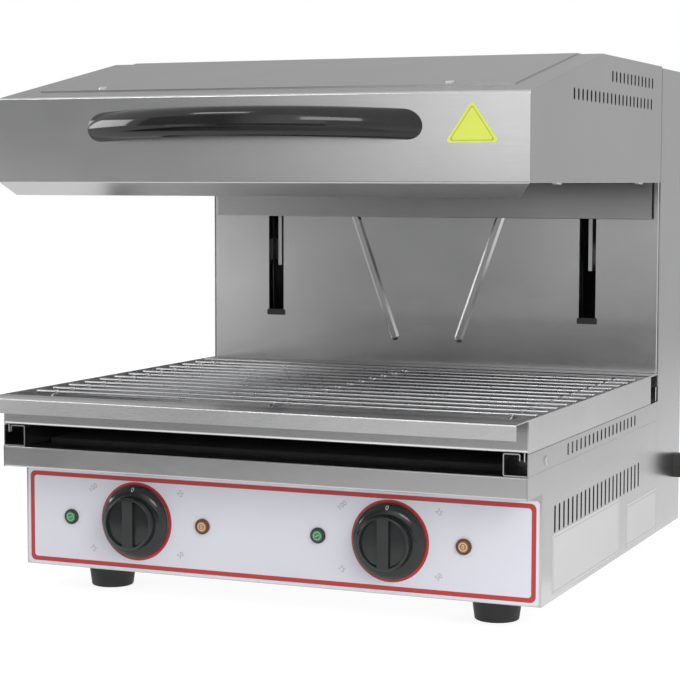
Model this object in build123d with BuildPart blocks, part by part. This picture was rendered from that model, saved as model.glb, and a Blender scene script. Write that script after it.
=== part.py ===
from build123d import *
from math import atan2, cos, degrees, hypot, radians, sin, sqrt, tan
import os

os.makedirs("parts", exist_ok=True)

# A lift-top salamander grill. The hood with the heating elements slides up and down a column behind
# the grill space, and the pan with its wire rack slides on rails above the control casing.
# Sizes are in millimetres.

# Sheet metal
sheet = 1.0                    # wall of the folded steel sheets
bend = 1.6                     # outside radius of a fold
seam = 0.15                    # gap left between neighbouring sheets
front_sheet = 1.6              # wall of the hood's front panel
hem_height = 5.0               # turned-over strip along a free edge
hem_thickness = 2.0

# Casing
casing_width = 500.0
base_height = 115.2            # underside of the tray to the top of the deck
ledge_height = 19.2            # folded front edge of the deck
ledge_reach = 39.0             # how far that edge stands out over the control panel
ledge_return = 8.0             # fold that goes back under the ledge
base_depth = 392.0             # control panel to the column's front wall
column_depth = 98.0
column_height = 469.0
panel_flange = 11.8            # fold at the foot of the control panel
column_flange = 10.0           # folds at the edges of the column's sheets
cap_drop = 11.0                # folds at the front and rear of the column's top

# Ventilation slots
vent_width = 4.5
vent_pitch = 13.35
base_vent_count = 22
base_vent_length = 24.0
base_vent_start = 37.5
base_vent_middle = 69.5
rail_vent_count = 18
rail_vent_length = 10.5
rail_vent_start = 75.0
hood_vent_length = 10.5
hood_low_count = 21
hood_low_end = 41.8            # last slot of the low row to the hood's rear edge
hood_low_over = 76.5           # its middle, above the hood's underside
hood_high_count = 12
hood_high_end = 38.5           # the same for the high row
hood_high_over = 97.0
tray_vent_count = 12
tray_vent_length = 60.0
tray_vent_start = 150.0
tray_vent_pitch = 14.0
tray_vent_x = 80.0
back_vent_count = 16
back_vent_length = 40.0
back_vent_middle = 60.0
back_vent_pitch = 14.0

# Feet
foot_height = 26.0
foot_top_diameter = 46.0
foot_bottom_diameter = 39.0
foot_edge = 2.0                # rounding of the foot's lower edge
foot_inset = 58.0              # from the casing's side and from the control panel
foot_rear_inset = 60.0         # from the back of the column
foot_screw_diameter = 6.0
foot_screw_head = 12.0
foot_head_height = 4.0
foot_recess = 12.0             # depth of the pocket for the screw's head
foot_nut_diameter = 12.0
foot_nut_height = 5.0

# Control panel
facia_thickness = 0.4
facia_margin = 2.0
facia_top_gap = 4.8            # facia's upper edge to the folded ledge
facia_corner = 3.0
print_thickness = 0.12
border_inset = 2.6             # facia's edge to the red border
border_width = 4.0
border_corner = 5.0
control_height = 47.0          # height of the knobs and lamps above the tray's underside
control_shift = -10.0          # the two groups of controls stand a little left of the middle
knob_spacing = 248.0
lamp_spacing = 67.5            # knob's axis to each of its lamps
ring_diameter = 72.0           # red ring printed round each knob
ring_width = 3.4
bush_diameter = 10.0
bush_hole_clearance = 0.3
bush_reach = 4.0               # the regulator's bush stands out this far from the panel
regulator_size = 44.0
regulator_corner = 4.4
regulator_depth = 28.0
spindle_diameter = 6.0
spindle_clearance = 0.05
spindle_in = 18.0              # the spindle reaches this far in behind the panel
spindle_out = 14.0             # and this far out in front of it

# Knobs
knob_gap = 2.2                 # facia to the back of the skirt
skirt_diameter = 66.8
skirt_rim = 1.8
skirt_wall = 2.2
skirt_rise = 5.0
grip_diameter = 49.0
grip_top_diameter = 47.0
knob_height = 15.6             # back of the skirt to the grip's face
grip_edge = 1.2
hub_diameter = 16.0
pocket_diameter = 42.0
pocket_depth = 4.4
grip_bar = 10.4                # ridge left between the two pockets
pocket_edge = 0.7

# Lamps
lamp_diameter = 14.0
lamp_rim = 2.2
lamp_edge = 0.7
lamp_body_diameter = 11.4
lamp_body_length = 22.0
lamp_hole_clearance = 0.3
lens_diameter = 9.6
lens_depth = 6.0
lens_dome = 0.8
lens_edge = 0.7

# Heat shield and rails
shield_thickness = 3.0
shield_inset = 23.0
shield_front = 6.0
rail_height = 19.2
rail_width = 21.0
rail_front = 38.0              # rails reach this far out in front of the control panel
rail_lip = 6.0
rail_mouth = 6.0               # open strip at the top of the rail, where the pan's runner hangs
rail_screw_y = 10.7
rail_screw_height = 8.2

# Grill pan
pan_gap = 0.3                  # rail to the underside of the pan
pan_height = 27.7
pan_front = 38.0               # front wall, in front of the control panel
pan_back_gap = 29.0            # rear wall to the column
lip_reach = 34.2               # front lip
lip_drop = 13.3
rear_lip_gap = 1.2             # rear lip to the column
runner_drop = 7.0
runner_end = 2.0               # the runners stop this far short of the pan's walls

# Rack
wire_diameter = 3.2
wire_count = 12
wire_pitch = 29.3
wire_first = 8.0               # first wire, behind the control panel's plane
rack_side_gap = 6.0
rod_diameter = 4.0
rod_inset = 22.0               # outer cross rods, in from the wires' ends
rod_over = 10.0                # the cross rods pass the first and last wire by this
rod_bend = 6.0
weld = 1.2                     # how deep wire and rod are welded into each other
leg_gap = 0.1

# Hood
hood_overhang = 42.0           # front face, in front of the control panel
hood_over_column = 1.8         # hood's ridge above the column's top
hood_height = 115.8            # underside to ridge
hood_front_height = 74.4
hood_ridge_y = 172.9
hood_rear_gap = 1.2            # hood to the column's front wall
side_flange = 40.0             # top flange of the hood's sides
side_foot = 18.0               # bottom flange of the hood's sides
side_foot_front = 14.0
side_edge = 0.8                # rounding of the hood's sides
top_sheet_inset = 24.0         # top sheet's edges, in from the hood's sides
top_sheet_front = -8.0
front_flange_end = 12.0
lip_run = 12.0                 # turned-in bottom lip of the front panel
lip_fall = 12.0
lip_mitre = 11.3
front_edge = 0.6               # rounding of the front panel's upright edges
skirt_inset = 7.7              # rear panel's ends, in from the casing's sides
skirt_wall_gap = 5.1           # rear panel to the column's front wall
skirt_drop = 36.8              # hood's underside to the rear panel's lower edge

# Reflector and heating elements
reflector_inset = 4.0          # in from the inside of the hood
reflector_flange = 18.0
reflector_height = 30.0
reflector_front_gap = 1.4
element_diameter = 8.0
element_legs = 6
element_inner = 20.0           # middle of the hood to the nearest leg
element_outer = 26.8           # farthest leg to the reflector's side wall
element_drop = 15.0            # ceiling of the reflector to the tube's axis
element_front = 33.0           # reflector's front wall to the nearest bend
element_rear = 28.0            # and its rear wall to the tube's ends
element_bend = 12.0
element_end = 16.0             # ends standing above the reflector
element_hole_clearance = 0.5
support_width = 12.0
support_thickness = 1.5
support_front = 81.0           # reflector's front wall to the first strip
support_rear = 83.0            # and its rear wall to the second
support_inset = 10.0

# Handle
handle_half = 141.6            # middle to where the bow's axis meets the panel
handle_rise = 34.0
handle_over = 48.0             # hood's underside to the middle of the handle
handle_section_height = 25.6
handle_section_depth = 15.0
handle_tilt = 5.0
handle_screw_x = 133.0
handle_screw_depth = 8.0
screw_diameter = 5.0
screw_head_diameter = 9.0
screw_head_height = 2.6

# Lift
lift_travel = 105.0
slot_inset = 75.0              # in from the casing's side
slot_width = 17.5
slot_drop = 256.5              # column's top to the slot's lower end
slot_top_room = 4.0
slot_flange = 6.0
buffer_height = 4.0
buffer_width = 21.0
buffer_front = 0.8
stop_gap = 0.5
carriage_thickness = 4.0
carriage_drop = 17.0           # column's top to the top of the plate, hood up
carriage_height = 187.5
carriage_front = 10.0          # column's front wall to the plate's front edge
carriage_depth = 38.0
arm_flange_half = 16.0
arm_flange_thickness = 3.0
arm_screw_side = 9.6
arm_screw_low = 53.0           # above the foot of the flange
arm_screw_high = 16.0          # below its top
guide_inset = 50.0             # in from the casing's side
guide_y = 33.0                 # behind the column's front wall
guide_diameter = 12.0
guide_clearance = 0.05
bush_wall = 3.0
boss_wall = 3.0
boss_height = 22.0
boss_low = 5.5                 # lower boss above the plate's bottom
boss_rib = 15.0                # depth of the web that carries each boss
bracket_half = 16.0
bracket_thickness = 8.0
bracket_drop = 341.0           # column's top to the guide rods' feet
bracket_leg = 4.0
strut_inset = 100.0            # in from the casing's side
strut_y = 38.0
strut_rod_diameter = 8.0
strut_rod_clearance = 0.05
strut_tube_diameter = 18.0
strut_drop = 331.0             # column's top to the strut's foot
strut_tube_length = 172.0
strut_rod_length = 188.0
lug_height = 12.0
lug_diameter = 14.0
lug_under_top = 12.0

# V-shaped beads pressed in the column's front wall
bead_width = 9.5
bead_height = 2.0
bead_slope = 50.0              # lean of the bead's sides, off square to the wall
bead_foot_x = 34.5
bead_foot_over = 24.9          # pan's rim to the bead's foot
bead_head_x = 91.5
bead_head_drop = 121.0         # column's top to the bead's head

# Cable entry
gland_reach = 22.0
gland_inset = 16.0             # in from the column's back
gland_height = 59.0
gland_flange_diameter = 28.0
gland_flange = 7.0
gland_dome_diameter = 24.0
gland_dome_edge = 4.0
gland_thread_diameter = 18.0
gland_thread_in = 9.0
gland_bore_diameter = 9.0
gland_nut_diameter = 25.0
gland_nut_height = 5.0
terminal_size = (60.0, 22.0, 18.0)
terminal_inset = 100.0         # in from the casing's side
terminal_behind = 53.0         # behind the column's front wall
terminal_ways = 3
terminal_hole_diameter = 10.0
terminal_hole_depth = 9.0

# Screws that hold the covers
cover_screw_diameter = 4.0
cover_head_diameter = 8.0
cover_head_height = 1.6
cover_head_round = 1.1
cover_screw_length = 6.0
top_screw_inset = 84.0
top_screw_y = 1.0
under_screw_front = 64.0       # screws in the hood's bottom flanges, behind the control panel
under_screw_rear = 46.0        # and in front of the hood's rear panel
back_screw_end = 29.5          # top and bottom screws of the rear cover, in from its ends
back_screw_inset = 6.0

# Worked out from the sizes above
half_width = casing_width / 2
inner_half = half_width - sheet - seam
total_depth = base_depth + column_depth
panel_top = base_height - ledge_height
hood_ridge_height = column_height + hood_over_column
hood_bottom = hood_ridge_height - hood_height
hood_top_front = hood_bottom + hood_front_height
handle_height = hood_bottom + handle_over
hood_rear = base_depth - hood_rear_gap
hood_back_y = base_depth - skirt_wall_gap - sheet
rail_top = base_height + rail_height
pan_bottom = rail_top + pan_gap
pan_rim = pan_bottom + pan_height
pan_floor = pan_bottom + sheet
pan_back = base_depth - pan_back_gap
handle_front = handle_rise + handle_section_depth / 2
slot_x = half_width - slot_inset
guide_x = half_width - guide_inset
strut_x = half_width - strut_inset
slot_bottom = column_height - slot_drop
arm_bottom = slot_bottom + buffer_height + stop_gap + lift_travel
carriage_top = column_height - carriage_drop
carriage_bottom = carriage_top - carriage_height
slot_top = carriage_top + slot_top_room
knob_back = facia_thickness + knob_gap
front_reach = hood_overhang + handle_front * cos(radians(handle_tilt))
rear_reach = total_depth + sheet + cover_head_height

# The origin is on the floor under the middle of the whole grill, with its handle, gland and screws.
mid_x = (cover_head_height - gland_reach) / 2
panel_y = (front_reach - rear_reach) / 2
base_z = foot_height


def level(height):
    """A floor-parallel plane: x to the right from the casing's middle, y back from the panel."""
    return Plane(origin=(mid_x, panel_y, base_z + height), x_dir=(1, 0, 0), z_dir=(0, 0, 1))


def facing(depth):
    """An upright plane that faces the front: x to the right, y up from the tray's underside."""
    return Plane(origin=(mid_x, panel_y + depth, base_z), x_dir=(1, 0, 0), z_dir=(0, -1, 0))


def flank(across):
    """An upright plane that faces right: x back from the control panel, y up."""
    return Plane(origin=(mid_x + across, panel_y, base_z), x_dir=(0, 1, 0), z_dir=(1, 0, 0))


def rear(depth):
    """An upright plane that faces the back: x to the left, y up from the tray's underside."""
    return Plane(origin=(mid_x, panel_y + depth, base_z), x_dir=(-1, 0, 0), z_dir=(0, 1, 0))


def under(height):
    """A plane that faces down: x to the right, y towards the front from the control panel."""
    return Plane(origin=(mid_x, panel_y, base_z + height), x_dir=(1, 0, 0), z_dir=(0, 0, -1))


def axis_to_front(across, height):
    """A line square to the control panel."""
    return Axis((mid_x + across, panel_y, base_z + height), (0, -1, 0))


def row(start, pitch, count, height):
    """Evenly spaced places along a line at one height."""
    return [(start + pitch * number, height) for number in range(count)]


def slope_height(depth):
    """Height of the hood's sloping top at a distance behind the control panel."""
    run = hood_ridge_y + hood_overhang
    rise = hood_ridge_height - hood_top_front
    return hood_top_front + (depth + hood_overhang) * rise / run


# ---------------------------------------------------------------- base casing

foot_places = [
    (side * (half_width - foot_inset), depth)
    for depth in (foot_inset, total_depth - foot_rear_inset)
    for side in (-1, 1)
]

with BuildPart() as base_tray:
    tray_front = panel_flange + seam
    tray_back = total_depth - sheet - 2 * seam
    with BuildSketch(level(0)):
        with Locations((0, (tray_front + tray_back) / 2)):
            Rectangle(2 * inner_half, tray_back - tray_front)
        with Locations(*foot_places):
            Circle(foot_screw_diameter / 2, mode=Mode.SUBTRACT)
        for number in range(tray_vent_count):
            depth = tray_vent_start + tray_vent_pitch * number
            with Locations((-tray_vent_x, depth), (tray_vent_x, depth)):
                SlotOverall(tray_vent_length, vent_width, mode=Mode.SUBTRACT)
    extrude(amount=sheet)
    with BuildSketch(facing(tray_back)):
        with Locations((0, sheet + column_flange / 2)):
            Rectangle(2 * inner_half, column_flange)
    extrude(amount=sheet)
base_tray.part.label = "base_tray"
export_step(base_tray.part, "parts/base_tray.step")

with BuildPart() as base_side_right:
    with BuildSketch(flank(half_width)):
        with BuildLine():
            Polyline(
                (sheet + seam, 0),
                (base_depth - seam, 0),
                (base_depth - seam, base_height),
                (-ledge_reach, base_height),
                (-ledge_reach, panel_top),
                (sheet + seam, panel_top),
                close=True,
            )
        make_face()
        with Locations(*row(base_vent_start, vent_pitch, base_vent_count, base_vent_middle)):
            SlotOverall(base_vent_length, vent_width, rotation=90, mode=Mode.SUBTRACT)
    extrude(amount=-sheet)
base_side_right.part.label = "base_side_right"
export_step(base_side_right.part, "parts/base_side_right.step")

with BuildPart() as base_side_left:
    mirror(base_side_right.part, about=flank(0))
base_side_left.part.label = "base_side_left"
export_step(base_side_left.part, "parts/base_side_left.step")

knob_places = [(control_shift + side * knob_spacing / 2, control_height) for side in (-1, 1)]
lamp_places = [
    (knob_x + side * lamp_spacing, control_height) for knob_x, _ in knob_places for side in (-1, 1)
]
bush_hole = bush_diameter / 2 + bush_hole_clearance
lamp_hole = lamp_body_diameter / 2 + lamp_hole_clearance

with BuildPart() as control_panel:
    panel_height = panel_top - seam
    with BuildSketch(facing(0)):
        with Locations((0, panel_height / 2)):
            Rectangle(casing_width, panel_height)
        with Locations(*knob_places):
            Circle(bush_hole, mode=Mode.SUBTRACT)
        with Locations(*lamp_places):
            Circle(lamp_hole, mode=Mode.SUBTRACT)
    extrude(amount=-sheet)
    with BuildSketch(level(0)):
        with Locations((0, (sheet + panel_flange) / 2)):
            Rectangle(2 * inner_half, panel_flange - sheet)
    extrude(amount=sheet)
    fillet(control_panel.edges().filter_by(Axis.X).group_by(Axis.Z)[0].group_by(Axis.Y)[0], sheet / 2)
control_panel.part.label = "control_panel"
export_step(control_panel.part, "parts/control_panel.step")

facia_width = casing_width - 2 * facia_margin
facia_height = panel_top - facia_top_gap - facia_margin
facia_middle = (0, facia_margin / 2 + facia_height / 2)

with BuildPart() as facia:
    with BuildSketch(facing(0)):
        with Locations(facia_middle):
            RectangleRounded(facia_width, facia_height, facia_corner)
        with Locations(*knob_places):
            Circle(bush_hole, mode=Mode.SUBTRACT)
        with Locations(*lamp_places):
            Circle(lamp_hole, mode=Mode.SUBTRACT)
    extrude(amount=facia_thickness)
facia.part.label = "facia"
export_step(facia.part, "parts/facia.step")

with BuildPart() as facia_print:
    border_out_width = facia_width - 2 * border_inset
    border_out_height = facia_height - 2 * border_inset
    with BuildSketch(facing(-facia_thickness)):
        with Locations(facia_middle):
            RectangleRounded(border_out_width, border_out_height, border_corner)
            RectangleRounded(
                border_out_width - 2 * border_width,
                border_out_height - 2 * border_width,
                border_corner - border_width / 2,
                mode=Mode.SUBTRACT,
            )
        with Locations(*knob_places):
            Circle(ring_diameter / 2)
            Circle(ring_diameter / 2 - ring_width, mode=Mode.SUBTRACT)
    extrude(amount=print_thickness)
facia_print.part.label = "facia_print"
export_step(facia_print.part, "parts/facia_print.step")

with BuildPart() as deck:
    with BuildSketch(flank(-inner_half)):
        with BuildLine():
            deck_line = FilletPolyline(
                (ledge_return, panel_top),
                (-ledge_reach, panel_top),
                (-ledge_reach, base_height),
                (base_depth - seam, base_height),
                radius=bend,
            )
            offset(deck_line, amount=sheet, side=Side.RIGHT, kind=Kind.INTERSECTION)
        make_face()
    extrude(amount=2 * inner_half)
deck.part.label = "deck"
export_step(deck.part, "parts/deck.step")

with BuildPart() as heat_shield:
    shield_back = base_depth - shield_front
    with BuildSketch(level(base_height)):
        with Locations((0, (shield_front + shield_back) / 2)):
            Rectangle(casing_width - 2 * shield_inset, shield_back - shield_front)
    extrude(amount=shield_thickness)
heat_shield.part.label = "heat_shield"
export_step(heat_shield.part, "parts/heat_shield.step")

# Each rail is a channel with its open side outwards; a slotted cover closes that side.
rail_length = rail_front + base_depth - seam
lip_x = inner_half - rail_mouth
with BuildPart() as rail_right:
    with BuildSketch(facing(-rail_front)):
        with BuildLine():
            rail_line = FilletPolyline(
                (lip_x, rail_top - rail_lip),
                (lip_x, rail_top),
                (inner_half - rail_width, rail_top),
                (inner_half - rail_width, base_height),
                (inner_half, base_height),
                radius=bend,
            )
            offset(rail_line, amount=sheet, side=Side.LEFT, kind=Kind.INTERSECTION)
        make_face()
    extrude(amount=-rail_length)
rail_right.part.label = "rail_right"
export_step(rail_right.part, "parts/rail_right.step")

with BuildPart() as rail_left:
    mirror(rail_right.part, about=flank(0))
rail_left.part.label = "rail_left"
export_step(rail_left.part, "parts/rail_left.step")

rail_screw_z = base_height + rail_screw_height
with BuildPart() as rail_cover_right:
    cover_height = rail_height - 2 * seam
    with BuildSketch(flank(half_width)):
        with Locations((rail_length / 2 - rail_front, base_height + rail_height / 2)):
            Rectangle(rail_length, cover_height)
        with Locations(*row(rail_vent_start, vent_pitch, rail_vent_count, base_height + rail_height / 2)):
            SlotOverall(rail_vent_length, vent_width, rotation=90, mode=Mode.SUBTRACT)
        with Locations((rail_screw_y, rail_screw_z)):
            Circle(cover_screw_diameter / 2, mode=Mode.SUBTRACT)
    extrude(amount=-sheet)
rail_cover_right.part.label = "rail_cover_right"
export_step(rail_cover_right.part, "parts/rail_cover_right.step")

with BuildPart() as rail_cover_left:
    mirror(rail_cover_right.part, about=flank(0))
rail_cover_left.part.label = "rail_cover_left"
export_step(rail_cover_left.part, "parts/rail_cover_left.step")


def screw_on(plane, places, length=cover_screw_length):
    """Dome-headed screws as separate solids: heads on the plane, shanks behind it."""
    with BuildPart() as screws:
        with BuildSketch(plane):
            with Locations(*places):
                Circle(cover_screw_diameter / 2)
        extrude(amount=-length)
        with BuildSketch(plane):
            with Locations(*places):
                Circle(cover_head_diameter / 2)
        extrude(amount=cover_head_height)
        rims = screws.edges().filter_by(GeomType.CIRCLE).filter_by(
            lambda rim: abs(plane.to_local_coords(rim.center()).Z - cover_head_height) < seam
        )
        fillet(rims, cover_head_round)
    return screws.part


# ---------------------------------------------------------------- column

slot_middle = (slot_bottom + slot_top) / 2
slot_height = slot_top - slot_bottom
bead_foot_z = pan_rim + bead_foot_over
bead_head_z = column_height - bead_head_drop
bead_run = bead_head_x - bead_foot_x
bead_climb = bead_head_z - bead_foot_z
bead_angle = degrees(atan2(bead_climb, bead_run))
bead_length = hypot(bead_run, bead_climb)
bead_middle = ((bead_head_x + bead_foot_x) / 2, (bead_head_z + bead_foot_z) / 2)
bead_thinning = 2 * sheet * tan(radians(45 - bead_slope / 2))

with BuildPart() as column_front:
    wall_height = column_height - sheet - seam
    with BuildSketch(level(sheet)):
        with BuildLine():
            wall_line = FilletPolyline(
                (-inner_half, base_depth + column_flange),
                (-inner_half, base_depth),
                (inner_half, base_depth),
                (inner_half, base_depth + column_flange),
                radius=bend,
            )
            offset(wall_line, amount=sheet, side=Side.LEFT, kind=Kind.INTERSECTION)
        make_face()
    extrude(amount=wall_height)
    for side in (-1, 1):
        with BuildSketch(facing(base_depth)):
            with Locations((side * bead_middle[0], bead_middle[1])):
                SlotOverall(bead_length, bead_width, rotation=side * bead_angle)
        extrude(amount=bead_height, taper=bead_slope)
        with BuildSketch(facing(base_depth + sheet)):
            with Locations((side * bead_middle[0], bead_middle[1])):
                SlotOverall(
                    bead_length - bead_thinning,
                    bead_width - bead_thinning,
                    rotation=side * bead_angle,
                )
        extrude(amount=bead_height, taper=bead_slope, mode=Mode.SUBTRACT)
    with BuildSketch(facing(base_depth + sheet)):
        with Locations((-slot_x, slot_middle), (slot_x, slot_middle)):
            Rectangle(slot_width + 2 * sheet, slot_height + 2 * sheet)
    extrude(amount=-slot_flange)
    with BuildSketch(facing(base_depth)):
        with Locations((-slot_x, slot_middle), (slot_x, slot_middle)):
            Rectangle(slot_width, slot_height)
    extrude(amount=-(slot_flange + sheet), mode=Mode.SUBTRACT)
column_front.part.label = "column_front"
export_step(column_front.part, "parts/column_front.step")

back_screw_places = [
    (side * (half_width - back_screw_inset), height)
    for side in (-1, 1)
    for height in (back_screw_end, column_height / 2, column_height - back_screw_end)
]
gland_y = total_depth - gland_inset
gland_hole = gland_thread_diameter / 2 + bush_hole_clearance
with BuildPart() as column_side_right:
    with BuildSketch(level(0)):
        with BuildLine():
            side_line = FilletPolyline(
                (half_width, base_depth),
                (half_width, total_depth),
                (half_width - column_flange - sheet, total_depth),
                radius=bend,
            )
            offset(side_line, amount=sheet, side=Side.LEFT, kind=Kind.INTERSECTION)
        make_face()
    extrude(amount=column_height)
    with BuildSketch(rear(total_depth)):
        with Locations(*back_screw_places):
            Circle(cover_screw_diameter / 2)
    extrude(amount=-sheet, mode=Mode.SUBTRACT)
    with BuildSketch(flank(half_width)):
        with Locations((gland_y, gland_height)):
            Circle(gland_hole)
    extrude(amount=-sheet, mode=Mode.SUBTRACT)
column_side_right.part.label = "column_side_right"
export_step(column_side_right.part, "parts/column_side_right.step")

with BuildPart() as column_side_left:
    with BuildSketch(level(0)):
        with BuildLine():
            side_line = FilletPolyline(
                (-half_width, base_depth),
                (-half_width, total_depth),
                (-half_width + column_flange + sheet, total_depth),
                radius=bend,
            )
            offset(side_line, amount=sheet, side=Side.RIGHT, kind=Kind.INTERSECTION)
        make_face()
    extrude(amount=column_height)
    with BuildSketch(rear(total_depth)):
        with Locations(*back_screw_places):
            Circle(cover_screw_diameter / 2)
    extrude(amount=-sheet, mode=Mode.SUBTRACT)
column_side_left.part.label = "column_side_left"
export_step(column_side_left.part, "parts/column_side_left.step")

with BuildPart() as column_top:
    cap_half = inner_half - sheet - 2 * seam
    cap_front = base_depth + sheet + seam
    cap_back = total_depth - sheet - seam
    with BuildSketch(flank(-cap_half)):
        with BuildLine():
            cap_line = FilletPolyline(
                (cap_front, column_height - cap_drop),
                (cap_front, column_height),
                (cap_back, column_height),
                (cap_back, column_height - cap_drop),
                radius=bend,
            )
            offset(cap_line, amount=sheet, side=Side.RIGHT, kind=Kind.INTERSECTION)
        make_face()
    extrude(amount=2 * cap_half)
column_top.part.label = "column_top"
export_step(column_top.part, "parts/column_top.step")

with BuildPart() as column_back:
    back_height = column_height - 2 * seam
    with BuildSketch(facing(total_depth)):
        with Locations((0, column_height / 2)):
            Rectangle(2 * inner_half, back_height)
        for height in (back_vent_middle, column_height - back_vent_middle):
            start = -back_vent_pitch * (back_vent_count - 1) / 2
            with Locations(*row(start, back_vent_pitch, back_vent_count, height)):
                SlotOverall(back_vent_length, vent_width, rotation=90, mode=Mode.SUBTRACT)
        with Locations(*back_screw_places):
            Circle(cover_screw_diameter / 2, mode=Mode.SUBTRACT)
    extrude(amount=-sheet)
column_back.part.label = "column_back"
export_step(column_back.part, "parts/column_back.step")

with BuildPart() as slot_buffers:
    for side in (-1, 1):
        with BuildSketch(facing(base_depth)):
            with Locations((side * slot_x, slot_bottom + buffer_height / 2)):
                Rectangle(slot_width, buffer_height)
        extrude(amount=-(sheet + slot_flange))
        with BuildSketch(facing(base_depth)):
            with Locations((side * slot_x, slot_bottom + buffer_height / 2 - sheet)):
                RectangleRounded(buffer_width, buffer_height + 2 * sheet, sheet)
        extrude(amount=buffer_front)
slot_buffers.part.label = "slot_buffers"
export_step(slot_buffers.part, "parts/slot_buffers.step")

guide_depth = base_depth + guide_y
guide_top = column_height - sheet
bracket_low = column_height - bracket_drop
with BuildPart() as guide_rod_right:
    with BuildSketch(level(bracket_low)):
        with Locations((guide_x, guide_depth)):
            Circle(guide_diameter / 2)
    extrude(amount=guide_top - bracket_low)
guide_rod_right.part.label = "guide_rod_right"
export_step(guide_rod_right.part, "parts/guide_rod_right.step")

with BuildPart() as guide_rod_left:
    mirror(guide_rod_right.part, about=flank(0))
guide_rod_left.part.label = "guide_rod_left"
export_step(guide_rod_left.part, "parts/guide_rod_left.step")

# Low brackets stand out from the front wall; the high ones hang from the column's top.
wall_back = base_depth + sheet
strut_depth = base_depth + strut_y
strut_foot = column_height - strut_drop
with BuildPart() as column_brackets:
    for side in (-1, 1):
        low_back = guide_depth + bracket_half
        with BuildSketch(level(bracket_low)):
            with Locations((side * guide_x, (wall_back + low_back) / 2)):
                Rectangle(2 * bracket_half, low_back - wall_back)
            with Locations((side * guide_x, guide_depth)):
                Circle(guide_diameter / 2, mode=Mode.SUBTRACT)
        extrude(amount=bracket_thickness)
        with BuildSketch(level(bracket_low + bracket_thickness)):
            with Locations((side * guide_x, wall_back + bracket_leg / 2)):
                Rectangle(2 * bracket_half, bracket_leg)
        extrude(amount=bracket_half)
        with BuildSketch(level(guide_top - bracket_thickness)):
            with Locations((side * guide_x, guide_depth)):
                Rectangle(2 * bracket_half, 2 * bracket_half)
                Circle(guide_diameter / 2, mode=Mode.SUBTRACT)
        extrude(amount=bracket_thickness)
        strut_back = strut_depth + strut_tube_diameter / 2
        with BuildSketch(level(strut_foot - bracket_leg)):
            with Locations((side * strut_x, (wall_back + strut_back) / 2)):
                Rectangle(strut_tube_diameter, strut_back - wall_back)
        extrude(amount=bracket_leg)
        with BuildSketch(level(strut_foot)):
            with Locations((side * strut_x, wall_back + bracket_leg / 2)):
                Rectangle(strut_tube_diameter, bracket_leg)
        extrude(amount=bracket_half)
column_brackets.part.label = "column_brackets"
export_step(column_brackets.part, "parts/column_brackets.step")

with BuildPart() as strut_tube_right:
    with BuildSketch(level(strut_foot)):
        with Locations((strut_x, strut_depth)):
            Circle(strut_tube_diameter / 2)
    extrude(amount=strut_tube_length)
    rod_bore = strut_rod_diameter / 2 + strut_rod_clearance
    with BuildSketch(level(strut_foot + bracket_leg)):
        with Locations((strut_x, strut_depth)):
            Circle(rod_bore)
    extrude(amount=strut_tube_length, mode=Mode.SUBTRACT)
strut_tube_right.part.label = "strut_tube_right"
export_step(strut_tube_right.part, "parts/strut_tube_right.step")

with BuildPart() as strut_tube_left:
    mirror(strut_tube_right.part, about=flank(0))
strut_tube_left.part.label = "strut_tube_left"
export_step(strut_tube_left.part, "parts/strut_tube_left.step")

terminal_place = (half_width - terminal_inset, base_depth + terminal_behind)
with BuildPart() as terminal_block:
    block_width, block_depth, block_height = terminal_size
    with BuildSketch(level(sheet)):
        with Locations(terminal_place):
            Rectangle(block_width, block_depth)
    extrude(amount=block_height)
    with BuildSketch(level(sheet + block_height)):
        with Locations(terminal_place):
            with GridLocations(block_width / terminal_ways, 1, terminal_ways, 1):
                Circle(terminal_hole_diameter / 2)
    extrude(amount=-terminal_hole_depth, mode=Mode.SUBTRACT)
terminal_block.part.label = "terminal_block"
export_step(terminal_block.part, "parts/terminal_block.step")

with BuildPart() as cable_gland:
    with BuildSketch(flank(half_width)):
        with Locations((gland_y, gland_height)):
            RegularPolygon(gland_flange_diameter / 2, 6)
    extrude(amount=gland_flange)
    with BuildSketch(flank(half_width + gland_flange)):
        with Locations((gland_y, gland_height)):
            Circle(gland_dome_diameter / 2)
    extrude(amount=gland_reach - gland_flange)
    fillet(cable_gland.edges().group_by(Axis.X)[-1], gland_dome_edge)
    with BuildSketch(flank(half_width)):
        with Locations((gland_y, gland_height)):
            Circle(gland_thread_diameter / 2)
    extrude(amount=-(sheet + gland_thread_in))
    with BuildSketch(flank(half_width + gland_reach)):
        with Locations((gland_y, gland_height)):
            Circle(gland_bore_diameter / 2)
    extrude(amount=-(gland_reach + sheet + gland_thread_in), mode=Mode.SUBTRACT)
cable_gland.part.label = "cable_gland"
export_step(cable_gland.part, "parts/cable_gland.step")

with BuildPart() as gland_nut:
    with BuildSketch(flank(half_width - sheet)):
        with Locations((gland_y, gland_height)):
            RegularPolygon(gland_nut_diameter / 2, 6)
            Circle(gland_thread_diameter / 2, mode=Mode.SUBTRACT)
    extrude(amount=-gland_nut_height)
gland_nut.part.label = "gland_nut"
export_step(gland_nut.part, "parts/gland_nut.step")

rear_screws = screw_on(rear(total_depth + sheet), back_screw_places)
rail_screw = screw_on(flank(half_width), [(rail_screw_y, rail_screw_z)])
with BuildPart() as casing_screws:
    add([rear_screws, rail_screw])
    mirror(rail_screw, about=flank(0))
casing_screws.part.label = "casing_screws"
export_step(casing_screws.part, "parts/casing_screws.step")

# ---------------------------------------------------------------- feet

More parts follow.
